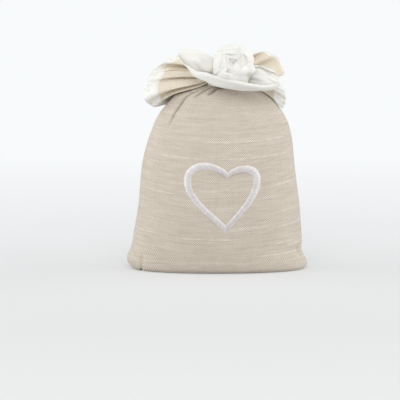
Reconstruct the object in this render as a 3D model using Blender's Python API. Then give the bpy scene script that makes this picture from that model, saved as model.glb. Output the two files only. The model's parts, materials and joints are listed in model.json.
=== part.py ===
"""Stuffed linen drawstring pouch with a lace-edged frill, a white cloth rose and a stitched heart.

Metres, +Z up. The front faces -Y and the origin lies on the floor under the middle of the pouch.
Each cloth piece is a thin closed sheet. Pieces that touch keep the clearance GAP between them.
Places round the neck are given from the neck point: the middle of the shoulder's top.
"""

import math

import bmesh
import bpy
import numpy as np

# Clearances
GAP = 0.0003
FILL_GAP = 0.0005
CORD_CLEARANCE = 0.00035
ROOT_GAP = 0.0005

# Pouch outline, seen from the front
CORNER_SPAN = 0.100
SIDE_WIDTH = 0.0986
SHOULDER_WIDTH = 0.0808
NECK_HEIGHT = 0.1035
NECK_RADIUS = 0.0104
MOUTH_RADIUS = 0.0076
SHOULDER_START = 0.046
SHOULDER_POWER = 2.8
CORNER_HEIGHT = 0.007
CORNER_ROUND = 0.0065
CORNER_REACH = 0.009
LEAN = 0.0045
LEAN_POWER = 1.6

# Pouch outline, seen from the side
DEPTH = 0.056
BASE_DEPTH = 0.041
BELLY_HEIGHT = 0.039
BELLY_POWER = 2.3
EDGE_ROUND = 0.005
SIDE_PINCH = 1.1
CORNER_PINCH = 0.5
PINCH_REACH = 0.012

# Cloth and seams
CLOTH = 0.0008
SEAM_THICKNESS = 0.001
SEAM_ALLOWANCE = 0.005
SEAM_RECESS = 0.0004
SEAM_TOP_DROP = 0.004
FILL_TOP_DROP = 0.006

# Heart, measured on the middle of its stitched band from the notch
HEART_NOTCH_X = 0.0058
HEART_NOTCH_Z = 0.0564
HEART_LEFT_WIDTH = 0.0220
HEART_RIGHT_WIDTH = 0.0166
HEART_LEFT_RISE = 0.0051
HEART_RIGHT_RISE = 0.0036
HEART_WIDEST_DROP = 0.0034
HEART_LENGTH = 0.0303
HEART_TIP_SHIFT = -0.0008
HEART_BAND = 0.0042
HEART_NOTCH_BAND = 0.0027
HEART_HEIGHT = 0.0008

# Handles of the heart's two curves, as shares of a lobe's width and rise and of the fall to the tip
LOBE_START_WIDTH = 0.28
LOBE_START_RISE = 1.35
LOBE_TOP_RISE = 1.6
FLANK_START_FALL = 0.33
TIP_WIDTH = 0.5
TIP_FALL = 0.38

# Gathered neck with the drawstring's channel
CASING_HEIGHT = 0.0064
CASING_BARREL = 0.0012
CASING_PLEATS = 14
CASING_PLEAT_DEPTH = 0.0006
CORD_RADIUS = 0.0012
CORD_RING = 0.0066
SLOT_WIDTH = 0.008
SLOT_DEPTH = 0.0068
KNOT_LENGTH = 0.0046
KNOT_RADIUS = 0.002
KNOT_LOBES = 3
KNOT_LOBE_DEPTH = 0.14
KNOT_TWIST = 2.4
KNOT_END = 0.93

# Frill: cloth sheets fanned from the neck, each with a lace edge
FRILL_CLOTH = 0.0008
LACE_CLOTH = 0.0008
LACE_WIDTH = 0.0050
LACE_GAP = 0.0007
LEFT_RIM = (
    (-0.0310, 0.0015, -0.0100),
    (-0.0370, -0.0015, -0.0120),
    (-0.0420, -0.0042, -0.0102),
    (-0.0448, -0.0055, -0.0068),
    (-0.0448, -0.0048, -0.0005),
    (-0.0425, -0.0020, 0.0045),
    (-0.0395, 0.0010, 0.0078),
)
RIGHT_RIM = (
    (0.0290, 0.0015, -0.0122),
    (0.0325, -0.0015, -0.0122),
    (0.0342, -0.0045, -0.0085),
    (0.0338, -0.0048, -0.0035),
    (0.0315, -0.0025, 0.0010),
    (0.0275, 0.0005, 0.0040),
)
BACK_RIM = (
    (0.0310, 0.0092, 0.0040),
    (0.0325, 0.0098, 0.0095),
    (0.0290, 0.0108, 0.0150),
    (0.0225, 0.0122, 0.0172),
    (0.0120, 0.0138, 0.0172),
    (0.0000, 0.0146, 0.0178),
    (-0.0130, 0.0138, 0.0172),
    (-0.0265, 0.0118, 0.0157),
    (-0.0335, 0.0108, 0.0126),
    (-0.0395, 0.0098, 0.0078),
    (-0.0430, 0.0092, 0.0040),
)
WING_ROOT_ANGLES = (-20.0, 14.0)
WING_ROOT_DEPTHS = (-0.0015, 0.0005)
BACK_ROOT_ANGLES = (38.0, 142.0)
LEFT_FOLDS = 3.0
RIGHT_FOLDS = 1.5
WING_FOLD_DEPTH = 0.0022
BACK_FOLDS = 4.5
BACK_FOLD_DEPTH = 0.0022
FRILL_BELLY = 0.0020
FOLD_GROWTH = 1.2
FOLD_START = 0.15

# Flower: backing, pad, three loose outer petals and a rose
PETAL_CLOTH = 0.0007
PETAL_GAP = 0.0004
BACKING_RADIUS = 0.0080
BACKING_THICKNESS = 0.0012
BACKING_X = 0.0040
ROSE_X = 0.0048
ROSE_Z = 0.0126
ROSE_STANDOFF = 0.0038
ROSE_TILT = 24.0
ROSE_LENGTH = 0.0088
ROSE_PAD_RADIUS = 0.0060
BUD_RADIUS = 0.0021
BUD_LENGTH = 0.0077
BUD_TAPER = 0.55
BUD_SPIRAL = 0.1
BUD_TWIST = 2.0
PETALS_PER_LAYER = (3, 4, 5)
PETAL_OVERLAP = 1.18
PETAL_SPIRAL = 0.0014
PETAL_TAPER = 0.85
PETAL_CURL = 0.0007
PETAL_EDGE_DROP = 0.22
PETAL_EDGE_POWER = 2.2
PETAL_LAYER_TURN = 0.4
LEFT_PETAL_LOWER = (
    (-0.0257, -0.0135, 0.0193),
    (-0.0185, -0.0142, 0.0092),
    (-0.0107, -0.0135, 0.0050),
    (-0.0045, -0.0122, 0.0038),
)
LEFT_PETAL_UPPER = (
    (-0.0253, -0.0130, 0.0217),
    (-0.0169, -0.0140, 0.0220),
    (-0.0107, -0.0135, 0.0196),
    (-0.0045, -0.0122, 0.0150),
)
RIGHT_PETAL_LOWER = (
    (0.0125, -0.0124, 0.0040),
    (0.0200, -0.0140, 0.0036),
    (0.0260, -0.0146, 0.0040),
    (0.0295, -0.0150, 0.0058),
)
RIGHT_PETAL_UPPER = (
    (0.0125, -0.0124, 0.0120),
    (0.0198, -0.0150, 0.0137),
    (0.0259, -0.0158, 0.0102),
    (0.0296, -0.0156, 0.0076),
)
CRADLE_BACK = (
    (-0.0170, -0.0128, 0.0064),
    (-0.0107, -0.0121, 0.0026),
    (-0.0046, -0.0119, 0.0014),
    (0.0076, -0.0119, 0.0013),
    (0.0155, -0.0120, 0.0013),
    (0.0250, -0.0126, 0.0018),
    (0.0296, -0.0134, 0.0038),
)
CRADLE_KEEL = (
    (-0.0180, -0.0165, 0.0093),
    (-0.0107, -0.0180, 0.0053),
    (-0.0046, -0.0190, 0.0019),
    (0.0076, -0.0200, 0.0008),
    (0.0155, -0.0200, 0.0004),
    (0.0252, -0.0180, 0.0012),
    (0.0301, -0.0150, 0.0041),
)
CRADLE_LIP = (
    (-0.0170, -0.0184, 0.0112),
    (-0.0107, -0.0212, 0.0096),
    (-0.0046, -0.0245, 0.0076),
    (0.0076, -0.0282, 0.0042),
    (0.0155, -0.0272, 0.0044),
    (0.0230, -0.0236, 0.0050),
    (0.0301, -0.0175, 0.0056),
)
PETAL_BULGE = 0.0018

# Mesh detail
HEART_POINTS = 29
PANEL_ROWS = 17
PANEL_COLUMNS = 19
FRILL_ROWS = 6
LACE_ROWS = 3
WING_COLUMNS = 29
BACK_COLUMNS = 45
ROSE_PETAL_ROWS = 5
ROSE_PETAL_COLUMNS = 9
LOFT_ROWS = 6
LOFT_COLUMNS = 13
FILL_ROWS = 11
ROUND_POINTS = 24
CASING_ROWS = 5
PLEAT_POINTS = 6
CHANNEL_POINTS = 44
CHANNEL_SECTION = 10
CORD_POINTS = 41
KNOT_ROWS = 9
KNOT_POINTS = 18
BUD_ROWS = 6
BUD_POINTS = 16

# Derived places
SEAM_GAP = SEAM_THICKNESS / 2 + GAP
PANEL_EDGE = SEAM_GAP + CLOTH
CASING_BOTTOM = NECK_HEIGHT + GAP
CASING_MIDDLE = CASING_BOTTOM + CASING_HEIGHT / 2
CASING_TOP = CASING_BOTTOM + CASING_HEIGHT
NECK = np.array([LEAN, 0.0, NECK_HEIGHT])
WING_HINGE = np.array([LEAN, 0.0, CASING_MIDDLE])
DRAWSTRING_CENTRE = np.array([LEAN, 0.0, CASING_MIDDLE])
WING_ROOT_RADIUS = NECK_RADIUS + ROOT_GAP
BACKING_BACK = math.sqrt(NECK_RADIUS**2 - (SLOT_WIDTH / 2) ** 2) + GAP
BACKING_FRONT = BACKING_BACK + BACKING_THICKNESS
BACKING_Z = BACKING_RADIUS + 2 * GAP

COLOURS = {
    "linen": (0.62, 0.53, 0.42, 1.0),
    "cotton": (0.86, 0.85, 0.82, 1.0),
    "lace": (0.84, 0.81, 0.75, 1.0),
    "satin": (0.85, 0.84, 0.86, 1.0),
    "fibre": (0.90, 0.90, 0.88, 1.0),
    "cord": (0.80, 0.76, 0.68, 1.0),
}


def clear_scene():
    """Removes every object of the scene."""
    for item in list(bpy.data.objects):
        bpy.data.objects.remove(item, do_unlink=True)


def material(name, kind):
    """A plain cloth material of one of the COLOURS."""
    made = bpy.data.materials.new(name)
    made.use_nodes = True
    shader = made.node_tree.nodes["Principled BSDF"]
    shader.inputs["Base Color"].default_value = COLOURS[kind]
    shader.inputs["Roughness"].default_value = 0.45 if kind == "satin" else 0.9
    shader.inputs["Metallic"].default_value = 0.0
    return made


def add_mesh(name, points, faces, kind, origin=(0.0, 0.0, 0.0)):
    """Adds a closed mesh as one named object, with its origin at the given point."""
    mesh = bpy.data.meshes.new(name)
    mesh.from_pydata((np.asarray(points) - np.asarray(origin)).tolist(), [], faces)
    shape = bmesh.new()
    shape.from_mesh(mesh)
    bmesh.ops.recalc_face_normals(shape, faces=shape.faces[:])
    shape.to_mesh(mesh)
    shape.free()
    mesh.shade_smooth()
    mesh.set_sharp_from_angle(angle=math.radians(45.0))
    item = bpy.data.objects.new(name, mesh)
    item.location = origin
    item.data.materials.append(material(name, kind))
    bpy.context.scene.collection.objects.link(item)
    return item


def grid_faces(rows, columns, first=0, close_columns=False, close_rows=False):
    """Quads of a grid of points, joined round in either direction where asked."""
    faces = []
    for i in range(rows if close_rows else rows - 1):
        for j in range(columns if close_columns else columns - 1):
            low, high = i * columns, ((i + 1) % rows) * columns
            right = (j + 1) % columns
            faces.append((first + low + j, first + low + right, first + high + right, first + high + j))
    return faces


def add_capped(name, grid, kind, origin=(0.0, 0.0, 0.0)):
    """Adds a tube of closed rings with a flat cap on both ends."""
    rows, columns = grid.shape[:2]
    faces = grid_faces(rows, columns, close_columns=True)
    faces.append(tuple(range(columns)))
    faces.append(tuple((rows - 1) * columns + j for j in range(columns)))
    return add_mesh(name, grid.reshape(-1, 3), faces, kind, origin)


def closed_sheet(front, back):
    """Points and faces of a solid between two grids of the same size, with its rim."""
    rows, columns = front.shape[:2]
    count = rows * columns
    points = np.concatenate([front.reshape(-1, 3), back.reshape(-1, 3)])
    faces = grid_faces(rows, columns)
    faces += [tuple(reversed(face)) for face in grid_faces(rows, columns, count)]
    border = list(range(columns))
    border += [i * columns + columns - 1 for i in range(1, rows)]
    border += [(rows - 1) * columns + j for j in range(columns - 2, -1, -1)]
    border += [i * columns for i in range(rows - 2, 0, -1)]
    for a, b in zip(border, border[1:] + border[:1]):
        faces.append((b, a, a + count, b + count))
    return points, faces


def grid_normals(grid):
    """Unit normals of a grid of points."""
    across = np.gradient(grid, axis=1)
    along = np.gradient(grid, axis=0)
    normal = np.cross(across, along)
    return normal / np.linalg.norm(normal, axis=2, keepdims=True)


def thick_sheet(middle, thickness):
    """A closed sheet of one thickness round its middle surface."""
    offset = grid_normals(middle) * thickness / 2
    return closed_sheet(middle + offset, middle - offset)


def smooth_curve(points, count):
    """Evenly numbered points of a smooth curve through the given ones."""
    points = np.asarray(points, float)
    ends = 2 * points[[0, -1]] - points[[1, -2]]
    padded = np.concatenate([ends[:1], points, ends[1:]])
    place = np.linspace(0, len(points) - 1, count)
    start = np.minimum(place.astype(int), len(points) - 2)
    t = (place - start)[:, None]
    a, b, c, d = (padded[start + k] for k in range(4))
    return 0.5 * (2 * b + (c - a) * t + (2 * a - 5 * b + 4 * c - d) * t**2 + (3 * b - a - 3 * c + d) * t**3)


def round_off(z, height, depth):
    """How far a quarter-round edge draws in at a height below its top."""
    below = np.clip(height - z, 0.0, height) / height
    return depth * (1 - np.sqrt(1 - below**2))


def dome(z, start, half_size, power):
    """Share of a half size left on the rounded shoulder, which closes to MOUTH_RADIUS at the neck."""
    at_neck = (1 - (MOUTH_RADIUS / half_size) ** power) ** (1 / power)
    share = np.clip(z - start, 0.0, None) / (NECK_HEIGHT - start) * at_neck
    return (1 - np.minimum(share, 1.0) ** power) ** (1 / power)


def side_line(z):
    """Half width of the straight, tapered side before the shoulder and corners."""
    return (SIDE_WIDTH + (SHOULDER_WIDTH - SIDE_WIDTH) * z / NECK_HEIGHT) / 2


def half_width(z):
    """Half width of the pouch at a height."""
    width = side_line(z) * dome(z, SHOULDER_START, SHOULDER_WIDTH / 2, SHOULDER_POWER)
    above = np.clip(z - CORNER_HEIGHT, 0.0, None) / CORNER_REACH
    corner = (CORNER_SPAN / 2 - side_line(CORNER_HEIGHT)) * np.exp(-(above**2))
    return width + corner - round_off(z, CORNER_HEIGHT, CORNER_ROUND)


def half_depth(z):
    """Half depth of the pouch at a height."""
    depth = DEPTH / 2 * dome(z, BELLY_HEIGHT, DEPTH / 2, BELLY_POWER)
    low = np.clip(1 - z / BELLY_HEIGHT, 0.0, 1.0)
    return depth - (DEPTH - BASE_DEPTH) / 2 * low**2 - round_off(z, EDGE_ROUND, EDGE_ROUND)


def centre_x(z):
    """Middle of the pouch at a height: it leans a little to one side."""
    return LEAN * (np.clip(z, 0.0, None) / NECK_HEIGHT) ** LEAN_POWER


def pinch(z):
    """Power that draws the side seams in, most at the bottom corners."""
    return SIDE_PINCH + CORNER_PINCH * np.exp(-z / PINCH_REACH)


def panel_depth(turn, z):
    """Distance of a panel from the seam plane, for a turn from the middle of the panel."""
    return PANEL_EDGE + (half_depth(z) - PANEL_EDGE) * np.cos(turn) ** pinch(z)


def front_y(x, z):
    """Y of the front panel's outside at a place."""
    turn = np.arcsin(np.clip((x - centre_x(z)) / half_width(z), -1.0, 1.0))
    return -panel_depth(turn, z)


def rest_height(x, y, clearance):
    """Lowest height at which a point clears the pouch's shoulder by the clearance."""
    low = np.full(np.shape(x), SHOULDER_START)
    high = np.full(np.shape(x), NECK_HEIGHT)

    def inside(z):
        wide = (x - centre_x(z)) / (half_width(z) + clearance)
        deep = y / (half_depth(z) + clearance)
        return wide**2 + deep**2 < 1

    reached = inside(low)
    for _ in range(40):
        middle = (low + high) / 2
        within = inside(middle)
        low = np.where(within, middle, low)
        high = np.where(within, high, middle)
    return np.where(reached, low + clearance, -1.0)


def panel(name, side):
    """One of the two linen panels: half of the floor, the belly and half of the shoulder."""
    turn = np.linspace(-np.pi / 2, np.pi / 2, PANEL_COLUMNS)
    height = NECK_HEIGHT * (0.5 - 0.5 * np.cos(np.linspace(0, np.pi, PANEL_ROWS)))
    turn, height = np.meshgrid(turn, height)
    x = centre_x(height) + half_width(height) * np.sin(turn)
    outside = np.stack([x, -panel_depth(turn, height), height], axis=2)
    floor = outside[:1].copy()
    floor[:, :, 1] = -SEAM_GAP
    outside = np.concatenate([floor, outside])
    inside = outside - CLOTH * grid_normals(outside)
    inside[:, :, 1] = np.minimum(inside[:, :, 1], -SEAM_GAP)
    inside[:, [0, -1], 1] = -SEAM_GAP
    inside[0, :, 1] = -SEAM_GAP
    inside[:2, :, 2] = CLOTH
    flip = np.array([1.0, side, 1.0])
    points, faces = closed_sheet(outside * flip, inside * flip)
    return add_mesh(name, points, faces, "linen")


def side_seam(name, side):
    """Turned-in seam allowance in the seam plane along one side."""
    z = np.linspace(SEAM_ALLOWANCE + GAP, NECK_HEIGHT - SEAM_TOP_DROP, PANEL_ROWS)
    edge = np.stack([side * half_width(z), z], axis=1)
    along = np.gradient(edge, axis=0)
    inward = np.stack([-along[:, 1], along[:, 0]], axis=1) * side
    inward /= np.linalg.norm(inward, axis=1, keepdims=True)
    outer = edge + SEAM_RECESS * inward
    inner = edge + SEAM_ALLOWANCE * inward
    lean = centre_x(z)
    middle = np.stack(
        [np.stack([line[:, 0] + lean, np.zeros_like(z), line[:, 1]], axis=1) for line in (outer, inner)],
        axis=1,
    )
    middle[0, :, 2] = z[0]
    points, faces = thick_sheet(middle, SEAM_THICKNESS)
    return add_mesh(name, points, faces, "linen")


def bottom_seam(name):
    """Turned-in seam allowance standing along the middle of the floor."""
    reach = float(half_width(0.0)) - SEAM_RECESS
    x = np.linspace(-reach, reach, PANEL_COLUMNS)
    heights = (SEAM_RECESS, SEAM_ALLOWANCE)
    middle = np.stack([np.stack([x, 0 * x, 0 * x + z], axis=1) for z in heights])
    points, faces = thick_sheet(middle, SEAM_THICKNESS)
    return add_mesh(name, points, faces, "linen")


def filling(name):
    """Fibre filling, clear of the panels and of the seam allowances."""
    z = np.linspace(SEAM_ALLOWANCE + 2 * GAP, NECK_HEIGHT - FILL_TOP_DROP, FILL_ROWS)
    step = 1e-5
    slope_x = (half_width(z + step) - half_width(z - step)) / (2 * step)
    slope_y = (half_depth(z + step) - half_depth(z - step)) / (2 * step)
    wide = half_width(z) - (SEAM_ALLOWANCE + FILL_GAP) * np.sqrt(1 + slope_x**2)
    deep = half_depth(z) - (CLOTH + FILL_GAP) * np.sqrt(1 + slope_y**2)
    turn = np.linspace(0, 2 * np.pi, ROUND_POINTS, endpoint=False)
    bend = np.sign(np.cos(turn)) * np.abs(np.cos(turn)) ** pinch(z)[:, None]
    x = centre_x(z)[:, None] + wide[:, None] * np.sin(turn)
    y = -deep[:, None] * bend
    grid = np.stack([x, y, np.broadcast_to(z[:, None], x.shape)], axis=2)
    return add_capped(name, grid, "fibre")


def bezier(a, b, c, d, t):
    """Points of a cubic curve."""
    a, b, c, d = (np.asarray(p)[None, :] for p in (a, b, c, d))
    t = t[:, None]
    return a * (1 - t) ** 3 + 3 * b * t * (1 - t) ** 2 + 3 * c * t**2 * (1 - t) + d * t**3


def resample(line, count):
    """Points spaced evenly along a line."""
    steps = np.linalg.norm(np.diff(line, axis=0), axis=1)
    place = np.concatenate([[0.0], np.cumsum(steps)])
    wanted = np.linspace(0, place[-1], count)
    return np.stack([np.interp(wanted, place, line[:, k]) for k in range(line.shape[1])], axis=1)


def heart_half_edge(width, rise, side, count):
    """One edge of half a heart's band, from the notch to the tip, cut on the heart's axis.

    The middle of the band is two cubic curves: over the lobe, then down to the tip.
    """
    t = np.linspace(0, 1, 60)
    widest = (width, -HEART_WIDEST_DROP)
    start = (LOBE_START_WIDTH * width, LOBE_START_RISE * rise)
    lobe = bezier((0, 0), start, (width, LOBE_TOP_RISE * rise), widest, t)
    fall = HEART_LENGTH - HEART_WIDEST_DROP
    below = (width, -HEART_WIDEST_DROP - FLANK_START_FALL * fall)
    above_tip = (TIP_WIDTH * width, -HEART_LENGTH + TIP_FALL * fall)
    flank = bezier(widest, below, above_tip, (0, -HEART_LENGTH), t)
    line = resample(np.concatenate([lobe, flank[1:]]), 121)
    along = np.gradient(line, axis=0)
    along /= np.linalg.norm(along, axis=1, keepdims=True)
    outward = np.stack([-along[:, 1], along[:, 0]], axis=1)
    grow = np.clip(np.linspace(0, 4, len(line)), 0, 1)
    band = HEART_NOTCH_BAND + (HEART_BAND - HEART_NOTCH_BAND) * grow
    edge = line + side * outward * band[:, None] / 2
    run = 2 * HEART_BAND
    edge = np.concatenate([edge[:1] - run * along[:1], edge, edge[-1:] + run * along[-1:]])
    middle = len(edge) // 2
    first = np.nonzero(edge[:middle, 0] < 0)[0].max()
    last = middle + np.nonzero(edge[middle:, 0] < 0)[0].min()
    cuts = []
    for i in (first, last - 1):
        share = edge[i, 0] / (edge[i, 0] - edge[i + 1, 0])
        cuts.append(edge[i] + share * (edge[i + 1] - edge[i]))
    return resample(np.concatenate([cuts[:1], edge[first + 1 : last], cuts[1:]]), count)


def heart(name):
    """Satin-stitch heart: a low rounded band that lies on the front panel."""
    edges = []
    for side in (1, -1):
        right = heart_half_edge(HEART_RIGHT_WIDTH, HEART_RIGHT_RISE, side, HEART_POINTS)
        left = heart_half_edge(HEART_LEFT_WIDTH, HEART_LEFT_RISE, side, HEART_POINTS) * np.array([-1.0, 1.0])
        edges.append(np.concatenate([right, left[-2:0:-1]]))
    outer, inner = edges
    across = np.array([-1.0, -0.6, 0.0, 0.6, 1.0])
    lift = GAP + HEART_HEIGHT * np.array([0.25, 0.8, 1.0, 0.8, 0.25])
    middle, half = (outer + inner) / 2, (outer - inner) / 2
    flat = middle[:, None, :] + half[:, None, :] * across[None, :, None]
    x = HEART_NOTCH_X + flat[:, :, 0] - HEART_TIP_SHIFT * flat[:, :, 1] / HEART_LENGTH
    z = HEART_NOTCH_Z + flat[:, :, 1]
    y = front_y(x, z)
    top = np.stack([x, y - lift, z], axis=2)
    under = np.stack([x, y - GAP, z], axis=2)[:, [-1, 0]]
    grid = np.concatenate([top, under], axis=1)
    rows, columns = grid.shape[:2]
    faces = grid_faces(rows, columns, close_columns=True, close_rows=True)
    return add_mesh(name, grid.reshape(-1, 3), faces, "satin")


def ring_points(turn, radius, z):
    """Points round the neck's axis."""
    return np.stack([LEAN + radius * np.cos(turn), radius * np.sin(turn), z + 0 * turn], axis=-1)


def cutter(name, points, faces):
    """A hidden body for a Boolean cut."""
    item = add_mesh(name, points, faces, "linen")
    item.hide_render = True
    item.display_type = "WIRE"
    return item


def channel_cutter(name):
    """The drawstring's round channel: a ring of the cord's size and its clearance."""
    turn = np.linspace(0, 2 * np.pi, CHANNEL_POINTS, endpoint=False)[:, None]
    section = np.linspace(0, 2 * np.pi, CHANNEL_SECTION, endpoint=False)[None, :]
    size = CORD_RADIUS + CORD_CLEARANCE
    radius = CORD_RING + size * np.cos(section)
    height = CASING_MIDDLE + size * np.sin(section)
    grid = ring_points(turn + 0 * section, radius + 0 * turn, height)
    faces = grid_faces(CHANNEL_POINTS, CHANNEL_SECTION, close_columns=True, close_rows=True)
    return cutter(name, grid.reshape(-1, 3), faces)


def slot_cutter(name):
    """The slot at the front of the neck where the drawstring is tied."""
    corners = []
    for y in (-2 * NECK_RADIUS, SLOT_DEPTH - NECK_RADIUS):
        for z in (CASING_BOTTOM - CASING_HEIGHT, CASING_TOP + CASING_HEIGHT):
            corners += [(LEAN - SLOT_WIDTH / 2, y, z), (LEAN + SLOT_WIDTH / 2, y, z)]
    faces = [(0, 1, 3, 2), (4, 6, 7, 5), (0, 4, 5, 1), (2, 3, 7, 6), (0, 2, 6, 4), (1, 5, 7, 3)]
    return cutter(name, corners, faces)


def neck_casing(name):
    """Gathered neck: a pleated barrel with the drawstring's channel and its slot cut out."""
    turn = np.linspace(0, 2 * np.pi, PLEAT_POINTS * CASING_PLEATS, endpoint=False)
    level = np.linspace(-1, 1, CASING_ROWS)[:, None]
    pleat = CASING_PLEAT_DEPTH * (0.5 - 0.5 * np.cos(CASING_PLEATS * (turn + np.pi / 2)))
    radius = NECK_RADIUS - pleat - CASING_BARREL * level**2
    grid = ring_points(turn + 0 * level, radius, CASING_MIDDLE + CASING_HEIGHT / 2 * level)
    item = add_capped(name, grid, "linen")
    for body in (channel_cutter("channel_cutter"), slot_cutter("slot_cutter")):
        cut = item.modifiers.new(body.name, "BOOLEAN")
        cut.operation = "DIFFERENCE"
        cut.object = body
    return item


def drawstring(name):
    """The cord in the neck's channel, from one side of the knot round to the other."""
    start = math.asin((KNOT_LENGTH / 2 + GAP) / CORD_RING)
    curve = bpy.data.curves.new(name, "CURVE")
    curve.dimensions = "3D"
    curve.bevel_depth = CORD_RADIUS
    curve.bevel_resolution = 1
    curve.use_fill_caps = True
    spline = curve.splines.new("POLY")
    turns = np.linspace(start, 2 * np.pi - start, CORD_POINTS) - np.pi / 2
    spline.points.add(len(turns) - 1)
    for point, turn in zip(spline.points, turns):
        point.co = (CORD_RING * math.cos(turn), CORD_RING * math.sin(turn), 0.0, 1.0)
    curve.materials.append(material(name, "cord"))
    item = bpy.data.objects.new(name, curve)
    item.location = DRAWSTRING_CENTRE
    bpy.context.scene.collection.objects.link(item)
    return item


def drawstring_knot(name):
    """The tied knot: a short barrel with lobes that turn along it."""
    place = np.linspace(-1, 1, KNOT_ROWS)[:, None]
    turn = np.linspace(0, 2 * np.pi, KNOT_POINTS, endpoint=False)[None, :]
    swell = np.sqrt(1 - (KNOT_END * place) ** 2)
    lobes = 1 - KNOT_LOBE_DEPTH + KNOT_LOBE_DEPTH * np.cos(KNOT_LOBES * turn + KNOT_TWIST * place)
    radius = KNOT_RADIUS * swell * lobes
    x = KNOT_LENGTH / 2 * place + 0 * turn
    y = radius * np.cos(turn) - CORD_RING
    z = radius * np.sin(turn)
    grid = np.stack([x, y, z], axis=2) + DRAWSTRING_CENTRE
    return add_capped(name, grid, "cord", DRAWSTRING_CENTRE)


def fan(root, rim, share, folds, fold_depth):
    """Fanned cloth from a root line to a rim line, with folds that deepen to the rim.

    The share runs from 0 at the root to 1 at the rim and may change along the rim.
    """
    across = np.linspace(0, 1, len(rim))[None, :]
    share = share[..., None]
    grid = root * (1 - share) + rim * share
    share = share[..., 0]
    fold = fold_depth * share**FOLD_GROWTH * np.sin(2 * np.pi * (folds * across + FOLD_START))
    grid[..., 1] += fold
    grid[..., 2] += FRILL_BELLY * np.sin(np.pi * share)
    clear = rest_height(grid[..., 0], grid[..., 1], 2 * GAP + FRILL_CLOTH)
    grid[..., 2] = np.maximum(grid[..., 2], clear)
    return grid


def wing_root(side, count):
    """Root of a side frill: an arc about the wing's hinge, just clear of the neck."""
    angle = np.radians(np.linspace(*WING_ROOT_ANGLES, count))
    y = np.linspace(*WING_ROOT_DEPTHS, count)
    x = side * WING_ROOT_RADIUS * np.cos(angle)
    return np.stack([x, y, WING_ROOT_RADIUS * np.sin(angle)], axis=1) + WING_HINGE


def back_root(count):
    """Root of the back frill: along the back half of the neck's top edge."""
    turn = np.radians(np.linspace(*BACK_ROOT_ANGLES, count))
    radius = NECK_RADIUS - CASING_BARREL - CASING_PLEAT_DEPTH
    return ring_points(turn, radius, CASING_TOP + GAP + FRILL_CLOTH)


def frill_and_lace(names, rim, root, folds, fold_depth, origin):
    """A frill's cloth and the lace band sewn along its rim, on one fanned surface."""
    folded = fan(root, rim, np.ones((1, len(rim))), folds, fold_depth)[0]
    fall = folded - root
    length = np.linalg.norm(fall, axis=1)
    along = np.gradient(folded, axis=0)
    slant = np.linalg.norm(np.cross(fall, along), axis=1) / (length * np.linalg.norm(along, axis=1))
    lace_start = 1 - LACE_WIDTH / length
    cloth_end = lace_start - LACE_GAP / (length * slant)
    cloth = np.linspace(0, 1, FRILL_ROWS)[:, None] * cloth_end
    lace = lace_start + np.linspace(0, 1, LACE_ROWS)[:, None] * (1 - lace_start)
    grid = fan(root, rim, np.concatenate([cloth, lace]), folds, fold_depth)
    normal = grid_normals(grid)
    normal[FRILL_ROWS - 1] = normal[FRILL_ROWS]
    for name, rows, kind, thickness in (
        (names[0], slice(None, FRILL_ROWS), "linen", FRILL_CLOTH),
        (names[1], slice(FRILL_ROWS, None), "lace", LACE_CLOTH),
    ):
        offset = normal[rows] * thickness / 2
        points, faces = closed_sheet(grid[rows] + offset, grid[rows] - offset)
        add_mesh(name, points, faces, kind, origin)


def flower_backing(name):
    """Felt disc sewn to the front of the neck."""
    turn = np.linspace(0, 2 * np.pi, ROUND_POINTS, endpoint=False)
    x = NECK[0] + BACKING_X + BACKING_RADIUS * np.cos(turn)
    z = NECK[2] + BACKING_Z + BACKING_RADIUS * np.sin(turn)
    rings = np.stack([np.stack([x, 0 * x - y, z], axis=1) for y in (BACKING_BACK, BACKING_FRONT)])
    return add_capped(name, rings, "cotton")


def rose_frame():
    """The rose's base point, its axis, and the two directions across it."""
    tilt = math.radians(ROSE_TILT)
    base = NECK + np.array([ROSE_X, -BACKING_FRONT - ROSE_STANDOFF, ROSE_Z])
    axis = np.array([0.0, -math.cos(tilt), math.sin(tilt)])
    up = np.array([0.0, math.sin(tilt), math.cos(tilt)])
    return base, axis, np.array([1.0, 0.0, 0.0]), up


def rose_points(turn, radius, rise):
    """Points of the rose from a turn about its axis, a radius and a rise along the axis."""
    base, axis, right, up = rose_frame()
    spoke = np.cos(turn)[..., None] * right + np.sin(turn)[..., None] * up
    return base + radius[..., None] * spoke + rise[..., None] * axis


def rose_pad(name):
    """Sewn pad between the backing and the rose."""
    turn = np.linspace(0, 2 * np.pi, ROUND_POINTS, endpoint=False)
    top = rose_points(turn, ROSE_PAD_RADIUS + 0 * turn, 0 * turn - GAP)
    foot = top.copy()
    foot[:, 1] = -BACKING_FRONT - GAP
    return add_capped(name, np.stack([top, foot]), "cotton")


def rose_bud(name):
    """Rolled middle of the rose: a cone of cloth with a spiral edge."""
    rise = np.linspace(0, 1, BUD_ROWS)[:, None]
    turn = np.linspace(0, 2 * np.pi, BUD_POINTS, endpoint=False)[None, :]
    spiral = 1 - BUD_SPIRAL + BUD_SPIRAL * np.cos(turn - BUD_TWIST * rise)
    radius = BUD_RADIUS * spiral * (1 - BUD_TAPER * rise**2)
    grid = rose_points(turn + 0 * rise, radius, BUD_LENGTH * rise + 0 * turn)
    return add_capped(name, grid, "cotton")


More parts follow.
